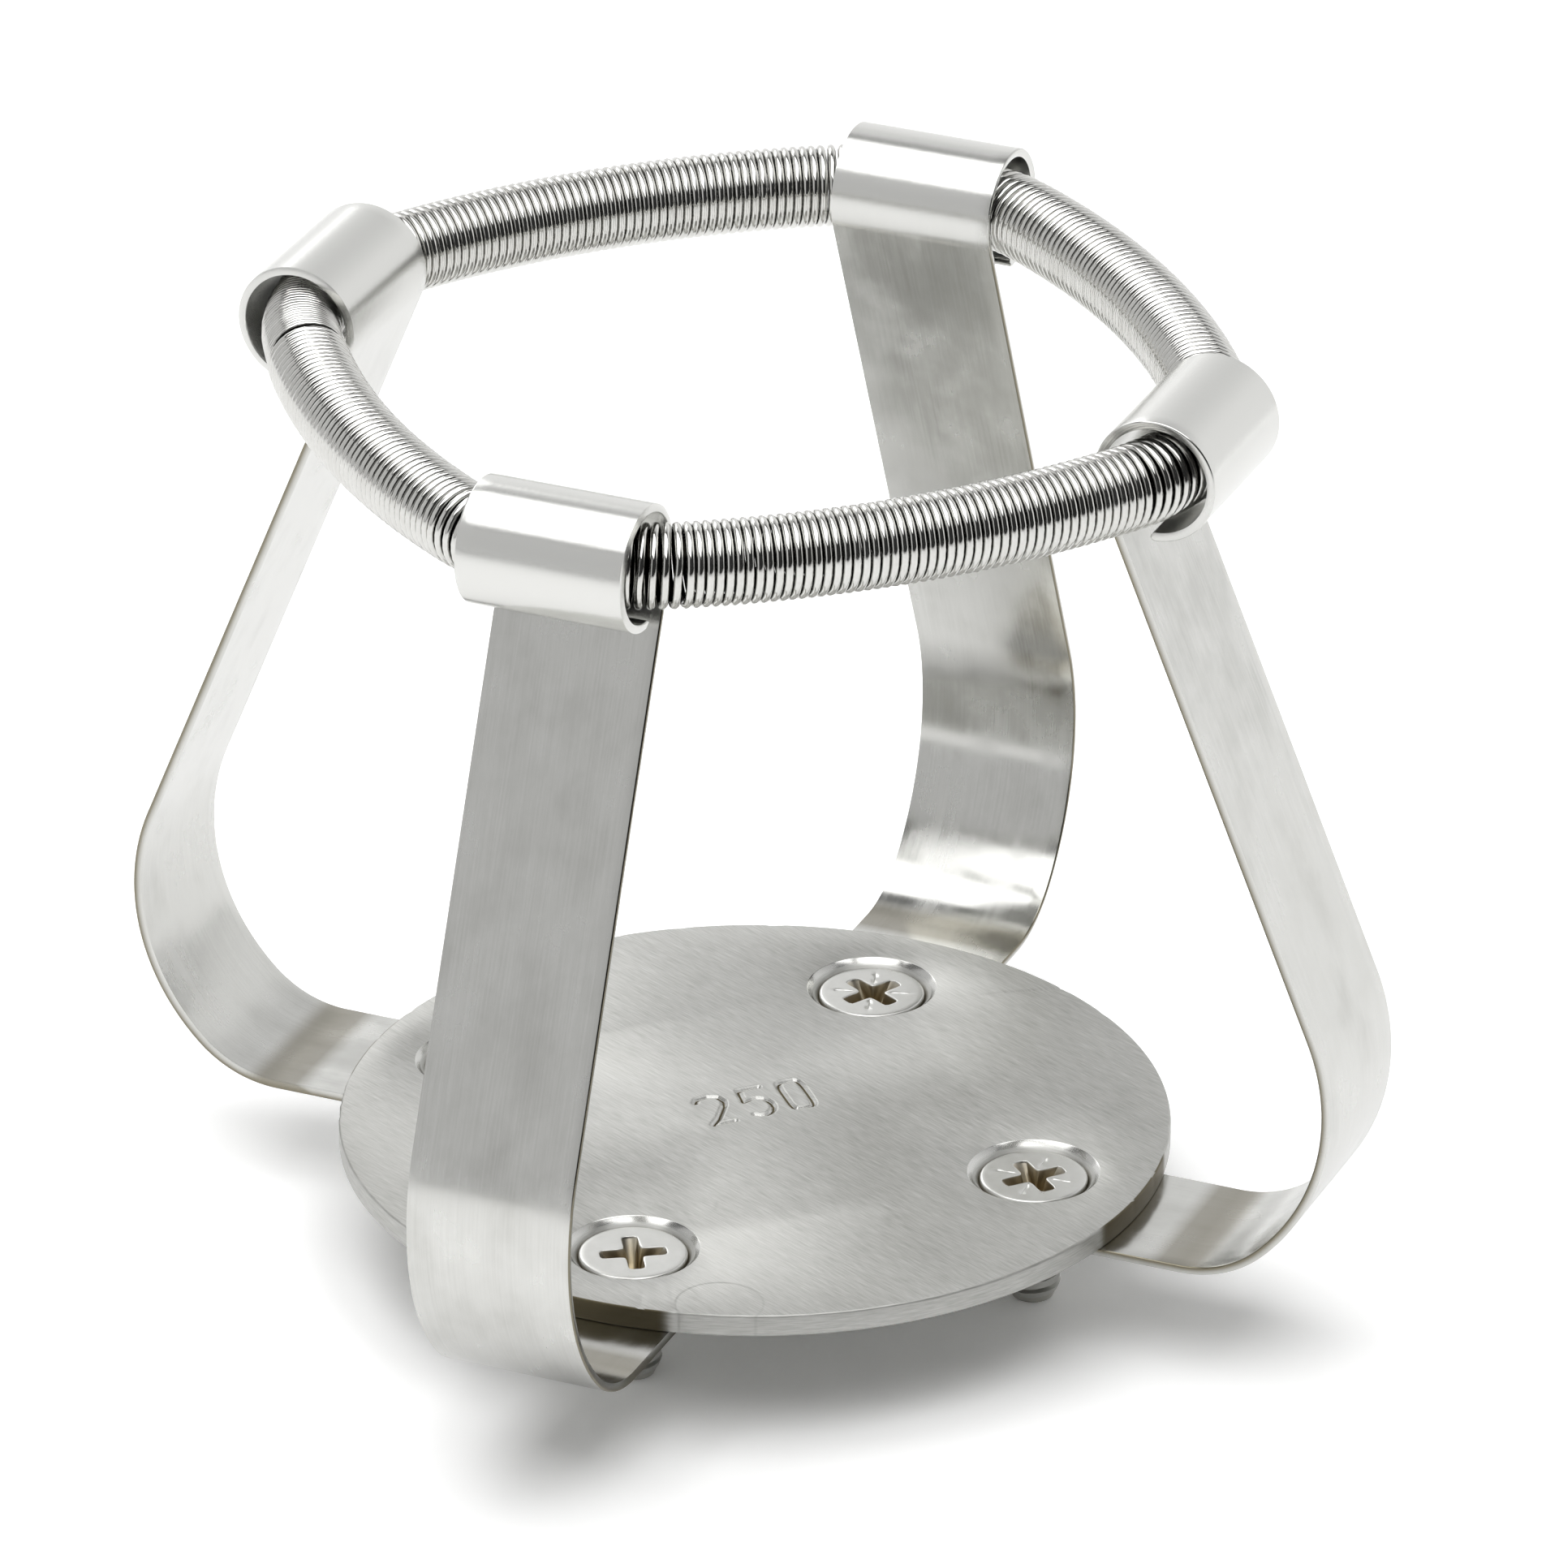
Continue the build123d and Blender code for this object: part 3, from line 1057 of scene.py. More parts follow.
    def paint_rim_shade(self, data: MeshData) -> None:
        """Darken the rim behind each strap with painted shade."""
        half_turn = math.asin(SIZES.strap_width / 2 / SIZES.plate_radius)
        near, far = (half_turn * share for share in self.rim_shade_fade)
        for index, (x, y, _) in enumerate(data.points):
            if math.hypot(x, y) > SIZES.plate_radius - SIZES.plate_edge_break * 0.6:
                turn = math.atan2(y, x)
                off = abs((turn + math.pi / 4) % (math.pi / 2) - math.pi / 4)
                # Painted shade: the rim is darkened where it faces a strap.
                data.wear_and_shade[index] = self.rim_painted_shade * (1 - smooth_step(near, far, off))

    def nick_rim(self, data: MeshData) -> None:
        """Press small handling nicks into the upper rim."""
        random = np.random.default_rng(self.seed)
        angles = random.uniform(-math.pi, math.pi, self.nick_count)
        widths = random.uniform(*self.nick_widths, self.nick_count)
        depths = random.uniform(*self.nick_depths, self.nick_count)
        inner = SIZES.plate_radius - SIZES.plate_edge_break * 1.1
        lowest = SIZES.plate_top - self.nick_height
        for index, (x, y, z) in enumerate(data.points):
            radius = math.hypot(x, y)
            if radius < inner or z < lowest:
                continue
            gap = np.abs((np.arctan2(y, x) - angles + math.pi) % (2 * math.pi) - math.pi) * radius
            press = float((depths * np.clip(1 - gap / widths, 0, 1)).max())
            share = 1 - press / radius
            data.points[index] = (x * share, y * share, z - press * self.nick_drop)


@dataclass
class Screw:
    """A countersunk M4 screw: cross-recessed head, cone, threaded shank and chamfered end."""

    name: str
    node: str
    centre_turn: float
    wing_turn: float
    cross_ticks: bool
    head_radius: float = 3.75
    head_rim: float = 0.45
    countersink_margin: float = 0.85
    length: float = 9.2
    thread_radius: float = 2.0
    core_radius: float = 1.6
    thread_pitch: float = 0.7
    tip_chamfer: float = 0.4
    span: float = 4.6
    wing_width: float = 1.1
    well_radius: float = 0.93
    recess_depth: float = 1.9
    root_span: float = 1.5
    root_width: float = 0.7
    root_well: float = 0.5
    recess_edge: float = 0.07
    octant_steps: int = 8
    tick_width: float = 0.13
    tick_depth: float = 0.08
    tick_rings: range = range(10, 13)
    edge_soil: float = 0.45
    shank_soil: float = 0.25
    rim_inset: float = 0.5
    root_dip: float = 0.2
    neck: float = 0.25
    thread_steps: int = 28
    thread_end: float = 0.9
    thread_sink: float = 0.6
    thread_rise: float = 0.72
    thread_thickness: float = 0.88
    sharp_angle: float = 35.0

    @property
    def cone_top(self) -> float:
        """Height where the head's cone meets its thin rim."""
        return SIZES.plate_top - self.countersink_margin / SIZES.countersink_slope

    @property
    def head_top(self) -> float:
        """Height of the head's flat face."""
        return self.cone_top + self.head_rim

    @property
    def tip(self) -> float:
        """Height of the shank's end."""
        return self.head_top - self.length

    def full_ring(self, octant: np.ndarray) -> np.ndarray:
        """Mirror and turn an eighth of an outline to the whole outline."""
        mirrored = octant[-2:0:-1, ::-1]
        quarter = np.vstack([octant, mirrored])
        turns = [np.array([[math.cos(a), math.sin(a)], [-math.sin(a), math.cos(a)]])
                 for a in (0, math.pi / 2, math.pi, 3 * math.pi / 2)]
        return np.vstack([quarter @ turn for turn in turns])

    def cross_ring(self, span: float, width: float, well: float) -> np.ndarray:
        """Return the outline of a cross with rounded tips and a round well.

        Args:
            span: Length from wing tip to wing tip.
            width: Width of a wing.
            well: Radius of the well in the middle.

        Returns:
            Points round the outline.
        """
        half = width / 2
        tip = min(half * 0.55, 0.25)
        corner = [(span / 2 - tip + tip * math.cos(a), half - tip + tip * math.sin(a))
                  for a in (0, math.pi / 8, math.pi / 4, 3 * math.pi / 8, math.pi / 2)]
        inner_x = math.sqrt(max(well ** 2 - half ** 2, (half * 1.02) ** 2))
        diagonal = max(well / math.sqrt(2), half)
        line = np.array([(span / 2, 0.0), *corner, (inner_x, half), (diagonal, diagonal)])
        steps = np.linalg.norm(np.diff(line, axis=0), axis=1)
        run = np.concatenate([[0.0], np.cumsum(steps)])
        evenly = np.linspace(0, run[-1] - self.tick_width / 2, self.octant_steps)
        wanted = np.append(evenly, run[-1])
        octant = np.column_stack([np.interp(wanted, run, line[:, axis]) for axis in (0, 1)])
        return self.full_ring(octant)

    def round_ring(self, radius: float) -> np.ndarray:
        """Return a circle whose points match those of a cross outline."""
        last = math.pi / 4 - self.tick_width / 2 / radius
        angles = np.append(np.linspace(0, last, self.octant_steps), math.pi / 4)
        return self.full_ring(np.column_stack([radius * np.cos(angles), radius * np.sin(angles)]))

    def rings(self) -> list[tuple[np.ndarray, float, float]]:
        """Return the rings from the recess's root over the head to the shank's end.

        Returns:
            For each ring its outline, its height and its soil.
        """
        top = self.head_top
        edge = self.recess_edge
        rings = []
        for share in (0.0, 0.25, 0.5, 0.75, 0.95):
            ring = self.cross_ring(
                self.root_span + (self.span - self.root_span) * share,
                self.root_width + (self.wing_width - self.root_width) * share,
                self.root_well + (self.well_radius - self.root_well) * share)
            level = top - self.recess_depth * (1 - share) - edge * share
            rings.append((ring, level, 1 - self.edge_soil * share))
        for angle, soil_and_shade in ((0, self.edge_soil), (30, 0.2), (60, 0.0), (90, 0.0)):
            out = edge * (1 - math.cos(math.radians(angle)))
            drop = edge * (1 - math.sin(math.radians(angle)))
            rings.append((self.cross_ring(self.span + 2 * out, self.wing_width + 2 * out,
                                          self.well_radius + out), top - drop, soil_and_shade))
        edge_ring = rings[-1][0]
        rim_ring = self.round_ring(self.head_radius - self.rim_inset)
        for share in (0.12, 0.2, 0.45, 0.7, 0.78, 1.0):
            rings.append((edge_ring * (1 - share) + rim_ring * share, top, 0.0))
        for inset, drop in ((0.2, 0.0), (0.1, 0.02), (0.03, 0.08), (0.0, 0.17)):
            rings.append((self.round_ring(self.head_radius - inset), top - drop, 0.0))
        cone_height = (self.head_radius - self.thread_radius) / SIZES.countersink_slope
        cone_foot = self.cone_top - cone_height
        chamfer = self.tip_chamfer
        for radius, level in (
            (self.head_radius, self.cone_top), (self.thread_radius, cone_foot),
            (self.core_radius, cone_foot - self.neck), (self.core_radius, self.tip + chamfer),
            (self.core_radius - chamfer * 0.4, self.tip),
        ):
            rings.append((self.round_ring(radius), level, self.shank_soil))
        return rings

    def build(self, finish: bpy.types.Material, winder: "Winder") -> bpy.types.Object:
        """Build the screw.

        Args:
            finish: The screw's material.
            winder: The Geometry Nodes tree that winds the thread.

        Returns:
            The finished screw.
        """
        data = MeshData()
        rings = self.rings()
        count = len(rings[0][0])
        for number, (outline, level, soil_and_shade) in enumerate(rings):
            heights = np.full(count, level)
            diagonal = np.arange(count) % (2 * self.octant_steps) == self.octant_steps
            if self.cross_ticks and number in self.tick_rings:
                heights[diagonal] -= self.tick_depth
            data.add_points(np.column_stack([outline, heights]), soil_and_shade)
        for row in range(len(rings) - 1):
            for column in range(count):
                following = (column + 1) % count
                corners = (row * count + column, (row + 1) * count + column,
                           (row + 1) * count + following, row * count + following)
                data.add_face(corners, [data.points[c][:2] for c in corners])
        poles = ((0, rings[0][1] - self.root_dip, 1.0), (len(rings) - 1, self.tip, self.shank_soil))
        for start, level, soil_and_shade in poles:
            pole = data.add_points([(0.0, 0.0, level)], soil_and_shade)
            for column in range(count):
                corners = (start * count + column, start * count + (column + 1) % count, pole)
                data.add_face(corners, [data.points[c][:2] for c in corners])
        piece = data.object(self.name)
        tidy_mesh(piece, self.sharp_angle)
        thread = winder.thread(self)
        work = bmesh.new()
        work.from_mesh(piece.data)
        work.from_mesh(thread.data)
        work.to_mesh(piece.data)
        work.free()
        bpy.data.objects.remove(thread)
        centre = math.radians(self.centre_turn)
        radius = SIZES.screw_circle_radius * MM
        place = Matrix.Translation((radius * math.cos(centre), radius * math.sin(centre), 0))
        piece.data.transform(place @ Matrix.Rotation(math.radians(self.wing_turn), 4, "Z"))
        shade_smooth(piece, self.sharp_angle)
        hand_over(piece, self.node, finish)
        return piece


class Winder:
    """A Geometry Nodes tree that winds a wire round a path: the coil, its joint and the threads.

    The path is the line that the turns touch on their inner side, so that turns of one wire lie
    close together there and fan out on the outer side, as those of a bent coil do.
    """

    INPUTS = (
        ("Turns", "NodeSocketInt"),
        ("Steps per turn", "NodeSocketInt"),
        ("Winding radius", "NodeSocketFloat"),
        ("Start turn", "NodeSocketFloat"),
        ("Wire radius", "NodeSocketFloat"),
        ("Wire sides", "NodeSocketInt"),
        ("End taper", "NodeSocketFloat"),
        ("Finish", "NodeSocketMaterial"),
    )
    # Share of the winding radius that is left at an end of the wire
    END_SHARE = 0.84
    # Depths between the turns where dirt and painted shade start and are full, in wire radii
    SOIL_AND_SHADE_RANGE = (-0.8, 0.4)

    def __init__(self) -> None:
        """Build the tree."""
        self.tree = bpy.data.node_groups.new("wind_wire", "GeometryNodeTree")
        face = self.tree.interface
        face.new_socket("Path", in_out="INPUT", socket_type="NodeSocketGeometry")
        self.sockets = {
            name: face.new_socket(name, in_out="INPUT", socket_type=kind).identifier
            for name, kind in self.INPUTS
        }
        face.new_socket("Wire", in_out="OUTPUT", socket_type="NodeSocketGeometry")
        self.wire_up()

    def wire_up(self) -> None:
        """Add and link the tree's nodes."""
        tree = self.tree
        given = add_node(tree, "NodeGroupInput").outputs
        count = add_node(tree, "ShaderNodeMath", {"operation": "MULTIPLY_ADD"},
                         {0: given["Turns"], 1: given["Steps per turn"], 2: 1.0}).outputs[0]
        curve = add_node(tree, "GeometryNodeMeshToCurve", {}, {"Mesh": given["Path"]}).outputs[0]
        curve = add_node(tree, "GeometryNodeResampleCurve", {},
                         {"Curve": curve, "Count": count}).outputs[0]
        index = add_node(tree, "GeometryNodeInputIndex").outputs[0]
        turned = add_node(tree, "ShaderNodeMath", {"operation": "DIVIDE"},
                          {0: index, 1: given["Steps per turn"]}).outputs[0]
        turned = add_node(tree, "ShaderNodeMath", {"operation": "ADD"},
                          {0: turned, 1: given["Start turn"]}).outputs[0]
        phase = add_node(tree, "ShaderNodeMath", {"operation": "MULTIPLY"},
                         {0: turned, 1: 2 * math.pi}).outputs[0]
        cosine = add_node(tree, "ShaderNodeMath", {"operation": "COSINE"}, {0: phase}).outputs[0]
        sine = add_node(tree, "ShaderNodeMath", {"operation": "SINE"}, {0: phase}).outputs[0]
        factor = add_node(tree, "GeometryNodeSplineParameter").outputs["Factor"]
        from_end = add_node(tree, "ShaderNodeMath", {"operation": "PINGPONG"},
                            {0: factor, 1: 0.5}).outputs[0]
        full = add_node(tree, "ShaderNodeMapRange", {"interpolation_type": "SMOOTHSTEP"},
                        {"Value": from_end, "From Max": given["End taper"],
                         "To Min": self.END_SHARE, "To Max": 1.0}).outputs[0]
        radius = add_node(tree, "ShaderNodeMath", {"operation": "MULTIPLY"},
                          {0: given["Winding radius"], 1: full}).outputs[0]
        tangent = add_node(tree, "GeometryNodeInputTangent").outputs[0]
        outward = add_node(tree, "ShaderNodeVectorMath", {"operation": "CROSS_PRODUCT"},
                           {0: tangent, 1: (0, 0, 1)}).outputs[0]
        upward = add_node(tree, "ShaderNodeVectorMath", {"operation": "CROSS_PRODUCT"},
                          {0: outward, 1: tangent}).outputs[0]
        centre = add_node(tree, "ShaderNodeVectorMath", {"operation": "SCALE"},
                          {0: outward, "Scale": given["Winding radius"]}).outputs[0]
        sideways = add_node(tree, "ShaderNodeVectorMath", {"operation": "SCALE"},
                            {0: outward, "Scale": cosine}).outputs[0]
        rising = add_node(tree, "ShaderNodeVectorMath", {"operation": "SCALE"},
                          {0: upward, "Scale": sine}).outputs[0]
        spoke = add_node(tree, "ShaderNodeVectorMath", {"operation": "ADD"},
                         {0: sideways, 1: rising}).outputs[0]
        spoke = add_node(tree, "ShaderNodeVectorMath", {"operation": "SCALE"},
                         {0: spoke, "Scale": radius}).outputs[0]
        offset = add_node(tree, "ShaderNodeVectorMath", {"operation": "ADD"},
                          {0: centre, 1: spoke}).outputs[0]
        here = add_node(tree, "GeometryNodeInputPosition").outputs[0]
        axis = add_node(tree, "ShaderNodeVectorMath", {"operation": "ADD"},
                        {0: here, 1: centre}).outputs[0]
        kept = tree.nodes.new("GeometryNodeCaptureAttribute")
        kept.capture_items.new("VECTOR", "Axis")
        tree.links.new(curve, kept.inputs["Geometry"])
        tree.links.new(axis, kept.inputs["Axis"])
        wound = add_node(tree, "GeometryNodeSetPosition", {},
                         {"Geometry": kept.outputs["Geometry"], "Offset": offset}).outputs[0]
        profile = add_node(tree, "GeometryNodeCurvePrimitiveCircle", {},
                           {"Resolution": given["Wire sides"],
                            "Radius": given["Wire radius"]}).outputs[0]
        wire = add_node(tree, "GeometryNodeCurveToMesh", {},
                        {"Curve": wound, "Profile Curve": profile, "Fill Caps": True}).outputs[0]
        # Dirt and painted shade on the inner half of each turn, between the turns and inside the
        # coil.
        reach = add_node(tree, "ShaderNodeVectorMath", {"operation": "DISTANCE"},
                         {0: here, 1: kept.outputs["Axis"]}).outputs["Value"]
        depth = add_node(tree, "ShaderNodeMath", {"operation": "SUBTRACT"},
                         {0: given["Winding radius"], 1: reach}).outputs[0]
        soil_and_shade = add_node(tree, "ShaderNodeMath", {"operation": "DIVIDE"},
                        {0: depth, 1: given["Wire radius"]}).outputs[0]
        soil_and_shade = add_node(tree, "ShaderNodeMapRange", {},
                        {"Value": soil_and_shade, "From Min": self.SOIL_AND_SHADE_RANGE[0],
                         "From Max": self.SOIL_AND_SHADE_RANGE[1]}).outputs[0]
        wire = add_node(tree, "GeometryNodeStoreNamedAttribute",
                        {"data_type": "FLOAT", "domain": "POINT"},
                        {"Geometry": wire, "Name": WEAR_AND_SHADE_MAP, "Value": soil_and_shade}).outputs[0]
        wire = add_node(tree, "GeometryNodeSetShadeSmooth", {}, {"Geometry": wire}).outputs[0]
        wire = add_node(tree, "GeometryNodeRealizeInstances", {}, {"Geometry": wire}).outputs[0]
        wire = add_node(tree, "GeometryNodeSetMaterial", {},
                        {"Geometry": wire, "Material": given["Finish"]}).outputs[0]
        add_node(tree, "NodeGroupOutput", {}, {"Wire": wire})

    def wind(
        self, name: str, path: np.ndarray, finish: bpy.types.Material | None, values: dict[str, Any]
    ) -> bpy.types.Object:
        """Wind a wire round a path.

        Args:
            name: The new piece's name.
            path: Points of the path, in mm.
            finish: The wire's material.
            values: The tree's inputs by name, with lengths in mm.

        Returns:
            The wound wire as a plain mesh object.
        """
        mesh = bpy.data.meshes.new(name)
        edges = [(index, index + 1) for index in range(len(path) - 1)]
        mesh.from_pydata([tuple(row) for row in path * MM], edges, [])
        piece = add_object(name, mesh)
        modifier = piece.modifiers.new("wind", "NODES")
        modifier.node_group = self.tree
        for key, value in values.items():
            modifier[self.sockets[key]] = value * MM if key.endswith("radius") else value
        if finish:
            modifier[self.sockets["Finish"]] = finish
        baked_copy(piece)
        return piece

    def thread(self, screw: Screw) -> bpy.types.Object:
        """Wind the thread of a screw that stands on the axis.

        Args:
            screw: The screw that gets the thread.

        Returns:
            The thread's ridge as a plain mesh object.
        """
        ridge = screw.thread_radius - screw.core_radius
        top = screw.cone_top - (screw.head_radius - screw.thread_radius)
        low = screw.tip + ridge * screw.thread_end
        turns = int((top - low) / screw.thread_pitch)
        steps = screw.thread_steps
        angles = np.arange(turns * steps + 1) * 2 * math.pi / steps
        heights = low + angles / (2 * math.pi) * screw.thread_pitch
        run_in = smooth_step(0.0, 2 * math.pi, angles)
        run_out = smooth_step(0.0, math.pi, angles[-1] - angles)
        risen = ridge * screw.thread_rise * run_in * run_out
        radii = screw.core_radius - ridge * screw.thread_sink + risen
        path = np.column_stack([radii * np.cos(angles), radii * np.sin(angles), heights])
        return self.ridge(path, ridge * screw.thread_thickness)

    def ridge(self, path: np.ndarray, half_height: float) -> bpy.types.Object:
        """Sweep a four-sided ridge along a path that is already a helix."""
        return self.wind("thread", path, None, {
            "Turns": 1, "Steps per turn": len(path) - 1, "Winding radius": 0.0, "Start turn": 0.0,
            "Wire radius": half_height, "Wire sides": 4, "End taper": 0.01})


@dataclass
class CoilRing:
    """The closed coil spring: one long coil, and the finer joint coil that links its ends."""

    name: str = "spring_coil"
    joint_name: str = "spring_joint_coil"
    node: str = "spring_ring"
    steps_per_turn: int = 28
    wire_sides: int = 10
    touch_gap: float = 0.004
    start_turn: float = 0.55
    end_taper: float = 0.0002
    joint_wire: float = 0.33
    joint_wire_sides: int = 8
    joint_start_turn: float = 0.1
    joint_gap_points: int = 2
    joint_start: float = 171.5
    joint_end: float = 200.0
    path_points: int = 1440
    loop_steps: int = 60
    span_steps: int = 120

    def path(self) -> tuple[np.ndarray, np.ndarray]:
        """Return the coil's inner side as a closed line.

        Returns:
            Points of the line at equal distances, and the angle of each about the plate's axis.
        """
        loop_radius, height = self.loop_centre()
        ridge = SIZES.coil_diameter / 2
        half_width = SIZES.strap_width / 2
        play = SIZES.loop_play - SIZES.loop_seat_gap
        root = math.sqrt(half_width ** 2 + 16 * ridge * play)
        tilt = (root - half_width) / (4 * ridge)
        tight = half_width / math.sin(2 * math.atan(tilt))
        tight_centre = loop_radius + play - tight
        half_turn = math.radians(SIZES.coil_corner_turn / 2)
        excess = tight_centre / (math.cos(half_turn) - math.sin(half_turn))
        inset = self.winding_radius()
        points = []
        for quarter in range(4):
            for angle in np.linspace(-half_turn, half_turn, self.loop_steps, endpoint=False):
                points.append((quarter, (tight_centre, 0.0), tight - inset, angle))
            for angle in np.linspace(
                half_turn, math.pi / 2 - half_turn, self.span_steps, endpoint=False
            ):
                middle = (tight_centre - excess * math.cos(half_turn),
                          -excess * math.sin(half_turn))
                points.append((quarter, middle, tight + excess - inset, angle))
        line = []
        for quarter, middle, radius, angle in points:
            x = middle[0] + radius * math.cos(angle)
            y = middle[1] + radius * math.sin(angle)
            turn = quarter * math.pi / 2
            line.append((x * math.cos(turn) - y * math.sin(turn),
                         x * math.sin(turn) + y * math.cos(turn), height))
        line = np.array(line + line[:1])
        run = np.concatenate([[0.0], np.cumsum(np.linalg.norm(np.diff(line, axis=0), axis=1))])
        wanted = np.linspace(0, run[-1], self.path_points + 1)
        even = np.column_stack([np.interp(wanted, run, line[:, axis]) for axis in range(3)])
        angles = np.degrees(np.unwrap(np.arctan2(even[:, 1], even[:, 0])))
        return even, angles

    def loop_centre(self) -> tuple[float, float]:
        """Return the radius and the height of a loop's centre."""
        strap = Strap("measure", "", 0.0)
        half = SIZES.strap_thickness / 2
        radius, height, heading = strap.foot_start(), half, 0.0
        for stretch in strap.stretches()[:-1]:
            after = heading + math.radians(stretch.turn)
            chord = stretch.length
            if stretch.turn:
                bend = stretch.length / math.radians(stretch.turn)
                chord = 2 * bend * math.sin(math.radians(stretch.turn) / 2)
            radius += chord * math.cos((heading + after) / 2)
            height += chord * math.sin((heading + after) / 2)
            heading = after
        arm = SIZES.loop_bore_radius + half
        return radius + arm * math.sin(heading), height - arm * math.cos(heading)

    def winding_radius(self) -> float:
        """Return the radius of the wire's middle line in the coil."""
        return (SIZES.coil_diameter - SIZES.wire_diameter) / 2

    def build(self, finish: bpy.types.Material, winder: Winder) -> list[bpy.types.Object]:
        """Wind the coil and its joint.

        Args:
            finish: The wire's material.
            winder: The Geometry Nodes tree that winds them.

        Returns:
            The long coil and the joint coil.
        """
        line, angles = self.path()
        in_joint = (angles[:-1] >= self.joint_start) & (angles[:-1] <= self.joint_end)
        first, last = np.flatnonzero(in_joint)[[0, -1]]
        long_path = np.vstack([line[last:-1], line[:first + 1]])
        length = np.linalg.norm(np.diff(long_path, axis=0), axis=1).sum()
        turns = int(length / (SIZES.wire_diameter + self.touch_gap))
        coil = winder.wind(self.name, long_path, finish, {
            "Turns": turns, "Steps per turn": self.steps_per_turn,
            "Winding radius": self.winding_radius(), "Start turn": self.start_turn,
            "Wire radius": SIZES.wire_diameter / 2, "Wire sides": self.wire_sides,
            "End taper": self.end_taper})
        hand_over(coil, self.node, finish)
        joint_path = line[first + self.joint_gap_points:last - self.joint_gap_points]
        length = np.linalg.norm(np.diff(joint_path, axis=0), axis=1).sum()
        joint = winder.wind(self.joint_name, joint_path, finish, {
            "Turns": int(length / (self.joint_wire + self.touch_gap)),
            "Steps per turn": self.steps_per_turn,
            "Winding radius": self.winding_radius(), "Start turn": self.joint_start_turn,
            "Wire radius": self.joint_wire / 2, "Wire sides": self.joint_wire_sides,
            "End taper": self.end_taper})
        hand_over(joint, "", finish)
        LOG.info("coil of %d turns", turns)
        return [coil, joint]


@dataclass(frozen=True)
class Card:
    """A curved card at the edge of the set, which steel mirrors and the camera looks through.

    Its azimuths are counted from -Y towards +X, as the camera's is. Its shades are the
    brightness at its lower and at its upper edge, where 1 is white.
    """

    name: str
    azimuths: tuple[float, float]
    elevations: tuple[float, float]
    shades: tuple[float, float]
    radius: float = 2400.0
    columns: int = 24
    rows: int = 10

    def build(self) -> bpy.types.Object:
        """Build the card.

        Returns:
            The card, unseen by the camera and casting no shadow.
        """
        turns = np.radians(np.linspace(*self.azimuths, self.columns + 1))
        rises = np.radians(np.linspace(*self.elevations, self.rows + 1))
        reach = self.radius * MM
        points = [
            (reach * math.cos(rise) * math.sin(turn),
             -reach * math.cos(rise) * math.cos(turn),
             reach * math.sin(rise))
            for rise in rises for turn in turns
        ]
        width = self.columns + 1
        faces = [(row * width + column, row * width + column + 1,
                  (row + 1) * width + column + 1, (row + 1) * width + column)
                 for row in range(self.rows) for column in range(self.columns)]
        mesh = bpy.data.meshes.new(self.name)
        mesh.from_pydata(points, [], faces)
        card = add_object(self.name, mesh)
        card.visible_camera = False
        card.visible_shadow = False
        material = empty_material(f"{self.name}_cloth")
        tree = material.node_tree
        here = add_node(tree, "ShaderNodeTexCoord").outputs["Object"]
        level = add_node(tree, "ShaderNodeSeparateXYZ", {}, {0: here}).outputs["Z"]
        shade = add_node(tree, "ShaderNodeMapRange", {},
                         {"Value": level, "From Min": reach * math.sin(rises[0]),
                          "From Max": reach * math.sin(rises[-1]),
                          "To Min": self.shades[0], "To Max": self.shades[1]}).outputs[0]
        glow = add_node(tree, "ShaderNodeEmission", {}, {"Strength": shade}).outputs[0]
        add_node(tree, "ShaderNodeOutputMaterial", {}, {"Surface": glow})
        mesh.materials.append(material)
        return card


@dataclass(frozen=True)
class Lamp:
    """A soft rectangular lamp.

    Its radiance is the brightness of its face, where 1 shows as white.
    """

    name: str
    place: tuple[float, float, float]
    aim: tuple[float, float, float]
    size: tuple[float, float]
    radiance: float

    def build(self) -> bpy.types.Object:
        """Hang the lamp.

        Returns:
            The lamp.
        """
        light = bpy.data.lights.new(self.name, "AREA")
        light.shape = "RECTANGLE"
        light.size, light.size_y = self.size[0] * MM, self.size[1] * MM
        light.energy = self.radiance * math.pi * light.size * light.size_y
        lamp = add_object(self.name, light)
        place = Vector(self.place)
        lamp.location = place * MM
        lamp.rotation_mode = "QUATERNION"
        lamp.rotation_quaternion = (Vector(self.aim) - place).to_track_quat("-Z", "Y")
        return lamp


